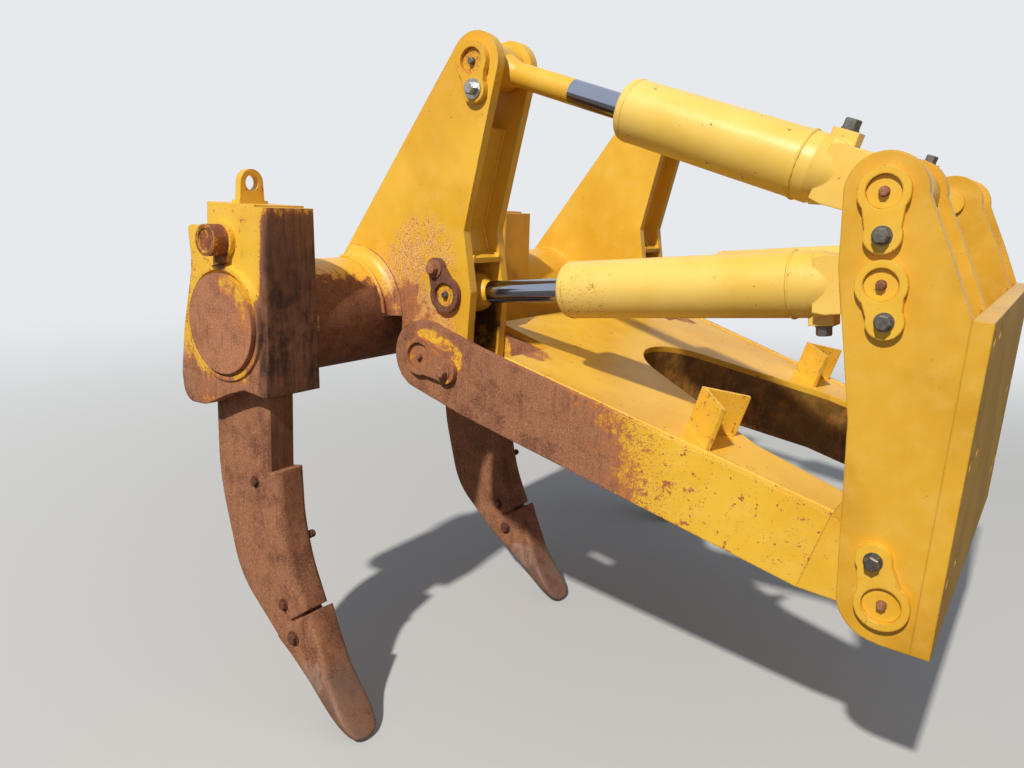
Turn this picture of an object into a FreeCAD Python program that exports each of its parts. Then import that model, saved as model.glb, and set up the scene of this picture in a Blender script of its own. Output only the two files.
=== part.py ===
import FreeCAD, Part
import math
import os
from FreeCAD import Vector

# Rear ripper of a bulldozer with its mounting bracket. Millimetres.
# +X points forward to the machine, +Y to its left, +Z up. The origin is on the
# bracket's mounting face, on the machine's centre line. The ripper stands with its
# points on the ground.

# Driving dimensions of the linkage, as pin centres (x, z) in the side view
ARM_PIN = (-1432.0, -36.0)
TILT_ROD_PIN = (-1316.0, 788.0)
LIFT_ROD_PIN = (-1382.0, 148.0)
ARM_HEAD_PIN = (-110.0, -392.0)
TILT_HEAD_PIN = (-236.0, 490.0)
LIFT_HEAD_PIN = (-214.0, 302.0)
TUBE_AXIS = (-1766.0, 59.0)

# Places across the machine, as distances from its centre line
SHANK_SPACING = 1050.0
CYLINDER_LINE = 561.0
TOWER_GAP = 128.0
EYE_WIDTH = 112.0

# Plate thicknesses
TOWER_PLATE = 30.0
ARM_PLATE = 26.0
DECK_PLATE = 20.0
WEB_PLATE = 16.0
BRACKET_PLATE = 30.0
BACK_PLATE = 40.0
RETAINER_PLATE = 18.0
NECK_SHARE = 0.88

# Radii of pins, rods and tubes
ARM_PIN_R = 41.0
ROD_PIN_R = 35.0
HEAD_PIN_R = 35.0
BUSH_WALL = 12.0
ROD_R = 33.0
BARREL_R = 78.0
BARREL_WALL = 11.0
MOUTH_EASE = 18.0
TUBE_R = 166.0
TUBE_WALL = 28.0
EYE_R = 60.0

# Clearances: a running fit, pieces of one body, pieces that move past each other
FIT = 0.06
SEAT = 0.3
RUN = 6.0
PIN_PLAY = 1.0

# Bracket
BRACKET_INNER = 385.0
BRACKET_LOW = -492.0
BRACKET_HIGH = 250.0
BOLT_R = 17.0
BOLT_COLUMN = 515.0
BOLT_SPACING_Y = 140.0
BOLT_SPACING_Z = 270.0
BOLT_ROWS = (-330.0, -60.0, 210.0)
BOLT_MIDDLE_Z = -60.0

# Arm frame, along the line from the arm pin to the head pin
ARM_HALF_DEPTH = 105.0
ARM_END = 1190.0
ARM_REAR_EDGE = 262.0
DECK_REAR_EDGE = 60.0
ARM_BEND = 190.0
ARM_FRONT_Y = 590.0
HUB_R = 62.0
EAR_BOSS_R = 97.0
SLOT_START = 395.0
SLOT_R = 215.0
SLOT_KNEE = 930.0
SLOT_KNEE_Y = 392.0
SLOT_FRONT_Y = 416.0
SLOT_WALL = 20.0
CLIP_PLACE = (763.0, 495.0)
CLIP_LEG = 140.0
CLIP_HEIGHT = 118.0
CLIP_PLATE = 12.0

# Shank, its guard and its point. Places are given from the cross tube's axis.
SHANK_THICK = 78.0
SHANK_DEPTH = 242.0
SHANK_TOP = 276.0
SHANK_TOP_CUT = (58.0, 128.0)
SHANK_NOSE_REAR = (265.0, -925.0)
SHANK_NOSE_FRONT = (111.0, -849.0)
GUARD_CHEEK = 9.0
GUARD_FRONT = 40.0
GUARD_EASE = 20.0
TIP_DROP = 1139.0
POINT_LENGTH = 344.0
POINT_WIDTH = 96.0
POINT_TIP_WIDTH = 66.0

# Pocket that holds a shank, and its lifting lug. Places are from the tube's axis.
POCKET_TOP = 324.0
POCKET_STEP = 5.0
POCKET_HALF_TOP = 81.0
POCKET_FLARE = 0.028
POCKET_FRONT = 168.0
POCKET_EASE = 9.0
SHANK_PLAY = 3.0
SHANK_PIN_HEIGHT = 226.0
SHANK_PIN_R = 34.0
SHANK_PIN_HEAD_R = 42.0
SHANK_PIN_HEAD = 44.0
SHANK_PIN_DISH = (31.0, 4.0)
PIN_BOSS_R = 51.0
PIN_BOSS = 14.0
PIN_FOOT_R = 23.0
PIN_FOOT = 26.0
CAP_R = 138.0
CAP_PROUD = 9.0
CAP_GAP = 9.0
CAP_RIM = 10.0
LUG_R = 36.0
LUG_HOLE_R = 21.0
LUG_THICK = 22.0
LUG_HEIGHT = 55.0

# Cylinders: pin to barrel mouth at rest, measured from the rod pin, and rod length
LIFT_MOUTH = 356.0
TILT_MOUTH = 442.0
LIFT_ROD_LENGTH = 730.0
TILT_ROD_LENGTH = 650.0
GLAND = 70.0
HEAD_LENGTH = 172.0
HEAD_NECK = 118.0
BORE_END = 195.0
PORT_START = 110.0
PORT_LENGTH = 58.0
PORT_PROUD = 16.0

# Towers
TOWER_TOP_R = 80.0
TOWER_FOOT_R = 128.0
TOWER_WEB_TOP = 628.0
COLLAR_R = 44.0
COLLAR_LIP = 3.0

# Derived places across the machine
TOWER_OUTER = CYLINDER_LINE + TOWER_GAP / 2
TOWER_INNER = CYLINDER_LINE - TOWER_GAP / 2
EAR_OUTER = TOWER_OUTER + TOWER_PLATE + RETAINER_PLATE + RUN
EAR_INNER = TOWER_INNER - TOWER_PLATE - RUN
BRACKET_OUTER = TOWER_OUTER
ARM_LENGTH = math.hypot(ARM_HEAD_PIN[0] - ARM_PIN[0], ARM_HEAD_PIN[1] - ARM_PIN[1])
ARM_SLOPE = math.degrees(math.atan2(ARM_PIN[1] - ARM_HEAD_PIN[1], ARM_HEAD_PIN[0] - ARM_PIN[0]))

os.makedirs("parts", exist_ok=True)


def save(name, *solids):
    shape = solids[0] if len(solids) == 1 else Part.makeCompound(list(solids))
    shape.exportStep("parts/" + name + ".step")
    print(name, len(shape.Solids), round(shape.Volume / 1e6, 2))


def mirrored(shape):
    return shape.mirror(Vector(0, 0, 0), Vector(0, 1, 0))


def save_both(name, *shapes):
    save(name, *(list(shapes) + [mirrored(s) for s in shapes]))


def fused(*shapes):
    return shapes[0].fuse(list(shapes[1:])).removeSplitter()


def disc(centre, radius, y0, y1):
    """Round bar along Y between y0 and y1."""
    return Part.makeCylinder(radius, y1 - y0, Vector(centre[0], y0, centre[1]), Vector(0, 1, 0))


def box(x, y, z):
    return Part.makeBox(x[1] - x[0], y[1] - y[0], z[1] - z[0], Vector(x[0], y[0], z[0]))


def extruded(points, y0, y1):
    """Flat plate with the outline points (x, z), from y0 to y1."""
    ring = [Vector(x, y0, z) for x, z in points]
    face = Part.Face(Part.makePolygon(ring + ring[:1]))
    return face.extrude(Vector(0, y1 - y0, 0))


def corner(before, point, after, radius):
    """Start, middle and end of the arc that rounds one corner of an outline."""
    a = Vector(before[0] - point[0], before[1] - point[1], 0).normalize()
    b = Vector(after[0] - point[0], after[1] - point[1], 0).normalize()
    half = a.getAngle(b) / 2
    cut = radius / math.tan(half)
    middle = (a + b).normalize() * (radius / math.sin(half) - radius)
    place = Vector(point[0], point[1], 0)
    return place + a * cut, place + middle, place + b * cut


def rounded(points, y0, y1):
    """Plate whose outline corners are (x, z, radius)."""
    edges = []
    marks = []
    count = len(points)
    for i, (x, z, radius) in enumerate(points):
        if radius:
            marks.append(corner(points[i - 1], (x, z), points[(i + 1) % count], radius))
        else:
            marks.append((Vector(x, z, 0),) * 3)
    for i, (start, middle, end) in enumerate(marks):
        leave = marks[i - 1][2]
        if leave.distanceToPoint(start) > 1e-6:
            edges.append((leave, start))
        if points[i][2]:
            edges.append((start, middle, end))
    made = []
    for edge in edges:
        at = [Vector(p.x, y0, p.y) for p in edge]
        made.append(Part.makeLine(*at) if len(at) == 2 else Part.Arc(*at).toShape())
    return Part.Face(Part.Wire(made)).extrude(Vector(0, y1 - y0, 0))


def eased(shape, radius, wanted):
    """Round off the edges whose middle point is wanted."""
    edges = [e for e in shape.Edges if wanted(e.valueAt((e.FirstParameter + e.LastParameter) / 2))]
    return shape.makeFillet(radius, edges)


def bar(a, b, width, y0, y1):
    """Straight bar of a plate between two points of the side view."""
    run = Vector(b[0] - a[0], b[1] - a[1], 0)
    side = Vector(-run.y, run.x, 0).normalize() * (width / 2)
    points = [(a[0] + side.x, a[1] + side.y), (b[0] + side.x, b[1] + side.y),
              (b[0] - side.x, b[1] - side.y), (a[0] - side.x, a[1] - side.y)]
    return extruded(points, y0, y1)


def tangent(point, centre, radius, side):
    """Where the line from a point touches a circle, on its left (1) or right (-1)."""
    dx, dz = point[0] - centre[0], point[1] - centre[1]
    far = math.hypot(dx, dz)
    turn = math.atan2(dz, dx) + side * math.acos(radius / far)
    return centre[0] + radius * math.cos(turn), centre[1] + radius * math.sin(turn)


def along_arm(shape):
    """Carry a shape from the arm's own axes, its pin at the origin, to its place."""
    moved = shape.copy()
    moved.rotate(Vector(0, 0, 0), Vector(0, 1, 0), ARM_SLOPE)
    moved.translate(Vector(ARM_PIN[0], 0, ARM_PIN[1]))
    return moved


def plan_strip(points, z0, z1):
    """Upright prism over an outline (x, y)."""
    ring = [Vector(x, y, z0) for x, y in points]
    face = Part.Face(Part.makePolygon(ring + ring[:1]))
    return face.extrude(Vector(0, 0, z1 - z0))


def pin_retainer(pin, bolt, pin_r, lobe, tail, y0, y1):
    """Keeper plate: a lobe round the pin's end and a smaller one at its bolt."""
    run = Vector(bolt[0] - pin[0], bolt[1] - pin[1], 0)
    side = Vector(-run.y, run.x, 0).normalize()
    wide = side * (lobe * NECK_SHARE)
    narrow = side * (tail * NECK_SHARE)
    neck = extruded([(pin[0] + wide.x, pin[1] + wide.y), (bolt[0] + narrow.x, bolt[1] + narrow.y),
                     (bolt[0] - narrow.x, bolt[1] - narrow.y), (pin[0] - wide.x, pin[1] - wide.y)], y0, y1)
    plate = fused(disc(pin, lobe, y0, y1), disc(bolt, tail, y0, y1), neck)
    return plate.cut(disc(pin, pin_r + SEAT, y0, y1))


def bracket_plate(y0, y1):
    """Side plate of the bracket with the three head pins' bores."""
    top_r = 82.0
    low_r = 98.0
    face = -BACK_PLATE
    tx, tz = TILT_HEAD_PIN
    ax, az = ARM_HEAD_PIN
    points = [(tx - top_r, tz), (-306.0, 330.0), (-240.0, 4.0), (ax - low_r, az),
              (ax, az - low_r - 2.0), (face, az - low_r - 2.0), (face, BRACKET_HIGH),
              (-95.0, 370.0), (tx + top_r, tz)]
    body = fused(extruded(points, y0, y1), disc(TILT_HEAD_PIN, top_r, y0, y1),
                 disc(ARM_HEAD_PIN, low_r, y0, y1))
    body = body.common(box((-400.0, face), (y0, y1), (-700.0, 700.0)))
    for centre in (TILT_HEAD_PIN, LIFT_HEAD_PIN, ARM_HEAD_PIN):
        radius = ARM_PIN_R if centre == ARM_HEAD_PIN else HEAD_PIN_R
        body = body.cut(disc(centre, radius + FIT, y0, y1))
    return body


def make_bracket():
    outer = bracket_plate(-BRACKET_OUTER - BRACKET_PLATE, -BRACKET_OUTER)
    inner = bracket_plate(-BRACKET_INNER - BRACKET_PLATE / 2, -BRACKET_INNER + BRACKET_PLATE / 2)
    for name, mirror in (("bracket_plates_right", False), ("bracket_plates_left", True)):
        pair = [mirrored(s) if mirror else s for s in (outer, inner)]
        save(name, *pair)
    wide = BRACKET_OUTER + BRACKET_PLATE
    back = box((-BACK_PLATE, 0.0), (-wide, wide), (BRACKET_LOW, BRACKET_HIGH))
    for side in (-1, 1):
        for column in (-1, 1):
            for row in BOLT_ROWS:
                y = side * BOLT_COLUMN + column * BOLT_SPACING_Y / 2
                hole = Part.makeCylinder(BOLT_R, BACK_PLATE, Vector(-BACK_PLATE, y, row), Vector(1, 0, 0))
                back = back.cut(hole)
    save("bracket_back_plate", back)


def make_head_pins():
    """Pins in the bracket, the spacers beside the cylinders' eyes and the keepers."""
    outside = -BRACKET_OUTER - BRACKET_PLATE
    inside = -BRACKET_INNER + BRACKET_PLATE / 2
    spacer_far = -BRACKET_INNER - BRACKET_PLATE / 2
    spacer_near = -CYLINDER_LINE + EYE_WIDTH / 2 + RUN
    pins, spacers, keepers = [], [], []
    # columns: pin centre, pin radius, keeper bolt's offset, lobe radius, tail radius
    table = ((TILT_HEAD_PIN, HEAD_PIN_R, (10.0, -88.0), 52.0, 38.0),
             (LIFT_HEAD_PIN, HEAD_PIN_R, (18.0, -75.0), 52.0, 38.0),
             (ARM_HEAD_PIN, ARM_PIN_R, (-30.0, 98.0), 58.0, 38.0))
    for centre, radius, offset, lobe, tail in table:
        pins.append(disc(centre, radius, outside - 8.0, inside + 12.0))
        bolt = (centre[0] + offset[0], centre[1] + offset[1])
        keepers.append(pin_retainer(centre, bolt, radius, lobe, tail, outside - RETAINER_PLATE, outside))
        if centre != ARM_HEAD_PIN:
            spacer = disc(centre, radius + 32.0, spacer_near, spacer_far)
            spacer = spacer.cut(disc(centre, radius + FIT, spacer_near, spacer_far))
            spacers.append(spacer)
    save_both("head_pins", *pins)
    save_both("head_spacers", *spacers)
    save_both("head_keepers", *keepers)


def slot_prism(inset, z0, z1):
    """The slot as an upright prism: a round rear end, flared sides, then straight."""
    centre = SLOT_START + SLOT_R
    radius = SLOT_R + inset
    flare = math.atan2(SLOT_KNEE_Y - SLOT_R * 0.9, SLOT_KNEE - centre + SLOT_R * 0.42)
    tx = centre - radius * math.sin(flare)
    ty = radius * math.cos(flare)
    knee = SLOT_KNEE_Y + inset
    front = SLOT_FRONT_Y + inset
    far = ARM_LENGTH + 100.0
    corners = [Vector(tx, -ty, z0), Vector(SLOT_KNEE, -knee, z0), Vector(ARM_END, -front, z0),
               Vector(far, -front, z0), Vector(far, front, z0), Vector(ARM_END, front, z0),
               Vector(SLOT_KNEE, knee, z0), Vector(tx, ty, z0)]
    edges = [Part.makeLine(a, b) for a, b in zip(corners, corners[1:])]
    edges.append(Part.Arc(corners[-1], Vector(centre - radius, 0, z0), corners[0]).toShape())
    return Part.Face(Part.Wire(edges)).extrude(Vector(0, 0, z1 - z0))


def arm_outer_plate():
    """Side plate of a leg: an ear round the pin, then tapering in towards the machine."""
    depth = ARM_HALF_DEPTH
    side = fused(disc((0, 0), depth, -900.0, 0.0), box((0, ARM_END), (-900.0, 0), (-depth, depth)))
    outer, thick, front = EAR_OUTER + ARM_PLATE, ARM_PLATE, ARM_FRONT_Y
    strip = plan_strip([(-depth - 10, -outer), (ARM_BEND, -outer), (ARM_END, -front),
                        (ARM_END, thick - front),
                        (ARM_BEND, thick - outer), (-depth - 10, thick - outer)], -300, 300)
    boss = disc((0, 0), EAR_BOSS_R, -EAR_OUTER - 1.0, -TOWER_OUTER - TOWER_PLATE - PIN_PLAY)
    return fused(side.common(strip), boss).cut(disc((0, 0), ARM_PIN_R + FIT, -900.0, 0.0))


def arm_inner_ear():
    depth = ARM_HALF_DEPTH
    y0, y1 = -EAR_INNER, -EAR_INNER + ARM_PLATE
    ear = fused(disc((0, 0), depth, y0, y1), box((0, ARM_REAR_EDGE), (y0, y1), (-depth, depth - DECK_PLATE)))
    low = box((0, ARM_REAR_EDGE), (y0, y1), (-depth, DECK_PLATE - depth))
    return ear.cut(low).cut(disc((0, 0), ARM_PIN_R + FIT, y0, y1))


def leg_width(at):
    """Inner face of the outer plate at a distance along the arm."""
    outer = EAR_OUTER + ARM_PLATE
    if at <= ARM_BEND:
        return outer - ARM_PLATE
    share = (at - ARM_BEND) / (ARM_END - ARM_BEND)
    return outer - ARM_PLATE + share * (ARM_FRONT_Y - outer)


def deck_plate(z0, z1, rear):
    """Deck or floor between the outer plates, open at the slot and at the towers' forks."""
    wide = leg_width(ARM_REAR_EDGE)
    front = leg_width(ARM_END)
    inner = EAR_INNER - ARM_PLATE
    plan = [(rear, -inner), (ARM_REAR_EDGE, -inner), (ARM_REAR_EDGE, -wide), (ARM_END, -front),
            (ARM_END, front), (ARM_REAR_EDGE, wide), (ARM_REAR_EDGE, inner), (rear, inner)]
    return plan_strip(plan, z0, z1).cut(slot_prism(0.0, z0, z1))


def make_arm():
    depth = ARM_HALF_DEPTH
    save_both("arm_outer_plates", along_arm(arm_outer_plate()))
    save_both("arm_inner_ears", along_arm(arm_inner_ear()))
    save("arm_deck", along_arm(deck_plate(depth - DECK_PLATE, depth, DECK_REAR_EDGE)))
    save("arm_floor", along_arm(deck_plate(-depth, DECK_PLATE - depth, DECK_REAR_EDGE)))
    low, high = DECK_PLATE - depth, depth - DECK_PLATE
    wall = slot_prism(SLOT_WALL, low, high).cut(slot_prism(0.0, low, high))
    wall = wall.common(box((0, ARM_END), (-700, 700), (low, high)))
    save("arm_slot_wall", along_arm(wall))
    inner = EAR_INNER - ARM_PLATE
    middle = box((DECK_REAR_EDGE, DECK_REAR_EDGE + DECK_PLATE), (-inner, inner), (low, high))
    wide = leg_width(ARM_REAR_EDGE)
    fork = box((ARM_REAR_EDGE, ARM_REAR_EDGE + DECK_PLATE), (-wide, -inner), (low, high))
    fork = fork.cut(plan_strip([(ARM_REAR_EDGE, -wide), (ARM_END, -leg_width(ARM_END)),
                                (ARM_END, -wide)], low, high))
    save("arm_rear_plates", along_arm(middle), along_arm(fork), along_arm(mirrored(fork)))
    save_both("arm_front_ends", along_arm(front_end()))
    save_both("deck_clips", along_arm(deck_clip()))


def front_end():
    """Solid end of a leg, tapered to the hub that turns on the head pin."""
    depth = ARM_HALF_DEPTH
    pin = (ARM_LENGTH, 0.0)
    outer, inner = ARM_FRONT_Y, SLOT_FRONT_Y
    top = tangent((ARM_END, depth), pin, HUB_R, -1)
    low = tangent((ARM_END, -depth), pin, HUB_R, 1)
    taper = extruded([(ARM_END, depth), top, low, (ARM_END, -depth)], -outer, -inner)
    hub = disc(pin, HUB_R, -BRACKET_OUTER + RUN, -BRACKET_INNER - BRACKET_PLATE / 2 - RUN)
    return fused(taper, hub).cut(disc(pin, ARM_PIN_R + FIT, -900.0, 0.0))


def deck_clip():
    """Angle that stands on the deck, open towards the machine."""
    x, y = CLIP_PLACE
    base = ARM_HALF_DEPTH
    size = CLIP_LEG
    plate = CLIP_PLATE
    angle = fused(box((0, size), (0, plate), (base, base + CLIP_HEIGHT)),
                  box((0, plate), (0, size), (base, base + CLIP_HEIGHT)))
    angle.rotate(Vector(0, 0, 0), Vector(0, 0, 1), -45)
    angle.translate(Vector(x, -y, 0))
    return angle


def make_arm_pins():
    """Pins between arm and towers, their keepers and the bushes in the tower plates."""
    outside = -EAR_OUTER - ARM_PLATE
    inside = -EAR_INNER + ARM_PLATE
    pin = disc(ARM_PIN, ARM_PIN_R, outside - 8.0, inside + 12.0)
    bolt = (ARM_PIN[0] + 101.0, ARM_PIN[1] - 29.0)
    keeper = pin_retainer(ARM_PIN, bolt, ARM_PIN_R, 56.0, 37.0, outside - RETAINER_PLATE, outside)
    save_both("arm_pins", pin)
    save_both("arm_pin_keepers", keeper)
    bushes = []
    for y0 in (-TOWER_OUTER - TOWER_PLATE, -TOWER_INNER):
        bush = disc(ARM_PIN, ARM_PIN_R + BUSH_WALL, y0, y0 + TOWER_PLATE)
        bushes.append(bush.cut(disc(ARM_PIN, ARM_PIN_R + FIT, y0, y0 + TOWER_PLATE)))
    save_both("arm_pin_bushes", *bushes)


def tower_plate(y0, y1):
    """Tall side plate of a tower, from round the cross tube to the tilt pin's lobe."""
    waist = (LIFT_ROD_PIN[0] + 52.0, LIFT_ROD_PIN[1] + 188.0)
    knee = (TILT_ROD_PIN[0] + 38.0, TILT_ROD_PIN[1] - 203.0)
    rear = (TUBE_AXIS[0] - 61.0, TUBE_AXIS[1] + 163.0)
    head = TILT_ROD_PIN
    foot = (ARM_PIN[0] - TOWER_FOOT_R, ARM_PIN[1])
    left = tangent(rear, head, TOWER_TOP_R, -1)
    right = tangent(knee, head, TOWER_TOP_R, 1)
    upper = [rear, left, right, knee, waist, (foot[0], foot[1] + 110.0), TUBE_AXIS]
    lower = [waist, (LIFT_ROD_PIN[0] + 86.0, LIFT_ROD_PIN[1] + 16.0),
             (ARM_PIN[0] + TOWER_FOOT_R, ARM_PIN[1]),
             ARM_PIN, (ARM_PIN[0], ARM_PIN[1] - TOWER_FOOT_R), (foot[0] + 34.0, foot[1] - 112.0),
             (foot[0], foot[1] - 86.0), (foot[0], foot[1] + 110.0)]
    plate = fused(extruded(upper, y0, y1), disc(head, TOWER_TOP_R, y0, y1), extruded(lower, y0, y1),
                  disc(ARM_PIN, TOWER_FOOT_R, y0, y1))
    for centre, radius in ((head, ROD_PIN_R), (LIFT_ROD_PIN, ROD_PIN_R), (ARM_PIN, ARM_PIN_R + BUSH_WALL)):
        plate = plate.cut(disc(centre, radius + FIT, y0, y1))
    return plate.cut(disc(TUBE_AXIS, TUBE_R + SEAT, y0, y1))


def tower_collar():
    """Hollow flare between the cross tube and the outer plate, as far as the plate goes."""
    y1 = -TOWER_OUTER - TOWER_PLATE
    y0 = y1 - COLLAR_R
    base = Vector(TUBE_AXIS[0], y0, TUBE_AXIS[1])
    hollow = Part.makeTorus(TUBE_R + COLLAR_R + COLLAR_LIP, COLLAR_R, base, Vector(0, 1, 0))
    flare = disc(TUBE_AXIS, TUBE_R + COLLAR_R - COLLAR_LIP, y0, y1).cut(hollow)
    sector = extruded([TUBE_AXIS, (TUBE_AXIS[0] - 60.0, TUBE_AXIS[1] + 400.0),
                       (TUBE_AXIS[0] + 400.0, TUBE_AXIS[1] + 400.0),
                       (TUBE_AXIS[0] + 400.0, TUBE_AXIS[1] + 4.0)], y0, y1)
    clear = disc(ARM_PIN, TOWER_FOOT_R + RUN, y0, y1)
    return flare.common(sector).cut(disc(TUBE_AXIS, TUBE_R + SEAT, y0, y1)).cut(clear)


def make_towers():
    outer = tower_plate(-TOWER_OUTER - TOWER_PLATE, -TOWER_OUTER)
    inner = tower_plate(-TOWER_INNER, -TOWER_INNER + TOWER_PLATE)
    y0, y1 = -TOWER_OUTER, -TOWER_INNER
    knee = (LIFT_ROD_PIN[0] - 6.0, LIFT_ROD_PIN[1] + 192.0)
    front = [(TILT_ROD_PIN[0] - 10.0, TOWER_WEB_TOP), knee, (knee[0] + 24.0, knee[1] - 72.0),
             (knee[0] + 76.0, knee[1] - 88.0)]
    rear = [(TUBE_AXIS[0] - 35.0, TUBE_AXIS[1] + 163.0), (TILT_ROD_PIN[0] - 154.0, TILT_ROD_PIN[1] - 126.0)]
    webs = []
    for path in (front, rear):
        strips = [bar(a, b, WEB_PLATE, y0, y1) for a, b in zip(path, path[1:])]
        joints = [disc(p, WEB_PLATE / 2, y0, y1) for p in path[1:-1]]
        webs.append(fused(*(strips + joints)) if len(strips) > 1 else strips[0])
    webs[1] = webs[1].cut(disc(TUBE_AXIS, TUBE_R + SEAT, y0, y1))
    for name, mirror in (("right", False), ("left", True)):
        turn = mirrored if mirror else (lambda s: s)
        save("tower_plates_" + name, turn(outer), turn(inner))
        save("tower_webs_" + name, turn(webs[0]), turn(webs[1]))
    save_both("tower_collars", tower_collar())


def make_tower_pins():
    """Pin ends held in the tower plates beside the rods' eyes, and their keepers."""
    outside = -TOWER_OUTER - TOWER_PLATE
    ends, keepers = [], []
    # columns: pin centre, keeper bolt's offset, tail radius
    for centre, offset, tail in ((TILT_ROD_PIN, (13.0, -72.0), 37.0), (LIFT_ROD_PIN, (-38.0, 74.0), 31.0)):
        ends.append(disc(centre, ROD_PIN_R, outside - 8.0, -TOWER_OUTER - SEAT))
        ends.append(disc(centre, ROD_PIN_R, -TOWER_INNER + SEAT, -TOWER_INNER + TOWER_PLATE + 12.0))
        bolt = (centre[0] + offset[0], centre[1] + offset[1])
        keepers.append(pin_retainer(centre, bolt, ROD_PIN_R, 52.0, tail, outside - RETAINER_PLATE, outside))
    save_both("tower_pin_ends", *ends)
    save_both("tower_keepers", *keepers)


def from_tube(points):
    """Outline points (dx, dz, radius) from the tube's axis, as places in the side view."""
    return [(TUBE_AXIS[0] + x, TUBE_AXIS[1] + z, radius) for x, z, radius in points]


def pocket_half(dz):
    """Half width of a pocket at a height over the tube's axis."""
    return POCKET_HALF_TOP + POCKET_FLARE * (POCKET_TOP - dz)


def pocket_taper(low, high, span):
    """Prism as wide as a pocket, wider at its foot, along X."""
    wide, narrow = pocket_half(low), pocket_half(high)
    x0, z0, z1 = TUBE_AXIS[0] + span[0], TUBE_AXIS[1] + low, TUBE_AXIS[1] + high
    ring = [Vector(x0, -wide, z0), Vector(x0, wide, z0), Vector(x0, narrow, z1), Vector(x0, -narrow, z1)]
    return Part.Face(Part.makePolygon(ring + ring[:1])).extrude(Vector(span[1] - span[0], 0, 0))


def pocket_outline():
    """Side view of a pocket: a shoulder behind, a rounded heel and an arch at the shank."""
    back = POCKET_FRONT
    return from_tube([(-76.0, POCKET_TOP, 0), (-77.0, 259.0, 14.0), (-168.0, 257.0, 14.0),
                      (-150.0, 150.0, 200.0), (-190.0, -30.0, 200.0), (-205.0, -170.0, 60.0),
                      (-190.0, -252.0, 50.0), (-90.0, -246.0, 60.0),
                      (10.0, -198.0, 120.0), (80.0, -173.0, 60.0), (back + 8.0, -181.0, 0),
                      (back, POCKET_TOP - POCKET_STEP, 0), (back - 44.0, POCKET_TOP - POCKET_STEP, 0),
                      (back - 44.0, POCKET_TOP, 0)])


def cap_face():
    """Distance of the end cap's outer face from the middle of its pocket."""
    return pocket_half(0) + CAP_RIM + CAP_PROUD


def end_boss(body):
    """Round boss that rises from the pocket's flank to the rim of the end cap."""
    rim = pocket_half(0) + CAP_RIM
    rise = 34.0
    base = Vector(TUBE_AXIS[0], -rim, TUBE_AXIS[1])
    cone = Part.makeCone(CAP_R + CAP_GAP + 12.0, CAP_R + CAP_GAP + 26.0, rise, base, Vector(0, 1, 0))
    return cone.common(body)


def pin_boss():
    """Collar round the shank pin with the foot that hangs under it."""
    y1 = -POCKET_HALF_TOP + 6.0
    y0 = -pocket_half(SHANK_PIN_HEIGHT) - PIN_BOSS
    pin = shank_pin_place()
    drop = PIN_BOSS_R + PIN_FOOT
    stub_base = Vector(pin[0], y0 + PIN_FOOT_R - 12.0, pin[1] - drop)
    foot = Part.makeCylinder(PIN_FOOT_R, drop, stub_base, Vector(0, 0, 1))
    foot = foot.cut(disc(TUBE_AXIS, TUBE_R + SEAT, 2 * y0, 0))
    foot = foot.cut(disc(pin, SHANK_PIN_HEAD_R + SEAT, y0 - SHANK_PIN_HEAD, y0))
    return fused(disc(pin, PIN_BOSS_R, y0, y1), foot)


def shank_pin_place():
    return TUBE_AXIS[0] - 4.0, TUBE_AXIS[1] + SHANK_PIN_HEIGHT


def pocket(is_end):
    """Casting round one shank, standing at the centre line."""
    wide = 200.0
    body = rounded(pocket_outline(), -wide, wide)
    core = body.common(pocket_taper(-400.0, 500.0, (-400.0, 400.0)))
    top = TUBE_AXIS[1] + POCKET_TOP - POCKET_STEP - 1.0
    front = TUBE_AXIS[0] + POCKET_FRONT - 1.0
    core = eased(core, POCKET_EASE, lambda p: abs(p.y) > POCKET_HALF_TOP - 1.0 and p.x > front and p.z < top)
    if is_end:
        core = fused(core, end_boss(body))
        rim = pocket_half(0) + CAP_RIM
        core = core.cut(disc(TUBE_AXIS, CAP_R + CAP_GAP, -rim, -rim + CAP_RIM))
    core = fused(core, pin_boss())
    half = SHANK_DEPTH / 2 + SHANK_PLAY
    thick = SHANK_THICK / 2 + SHANK_PLAY
    x, z = TUBE_AXIS
    top = SHANK_TOP + SHANK_PLAY
    slot = [(x - half, z - 400.0), (x - half, z + top - SHANK_TOP_CUT[1]),
            (x - half + SHANK_TOP_CUT[0], z + top - 34.0),
            (x - half + SHANK_TOP_CUT[0], z + top), (x + half, z + top), (x + half, z - 400.0)]
    core = core.cut(extruded(slot, -thick, thick))
    core = core.cut(disc(shank_pin_place(), SHANK_PIN_R + SEAT, -wide, wide))
    return fused(core, lifting_lug())


def lifting_lug():
    """Lug across the pocket's top, its hole facing forward."""
    x = TUBE_AXIS[0] - LUG_THICK / 2
    base = TUBE_AXIS[1] + POCKET_TOP
    z = base + LUG_HEIGHT
    foot = LUG_R + 4.0
    ring = [Vector(x, -foot, base), Vector(x, -LUG_R, z), Vector(x, LUG_R, z), Vector(x, foot, base)]
    plate = Part.Face(Part.makePolygon(ring + ring[:1])).extrude(Vector(LUG_THICK, 0, 0))
    round_top = Part.makeCylinder(LUG_R, LUG_THICK, Vector(x, 0, z), Vector(1, 0, 0))
    hole = Part.makeCylinder(LUG_HOLE_R, LUG_THICK, Vector(x, 0, z), Vector(1, 0, 0))
    weld = box((x - 6.0, x + LUG_THICK + 6.0), (-foot - 6.0, foot + 6.0), (base, base + 8.0))
    return fused(plate, round_top, weld).cut(hole)


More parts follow.
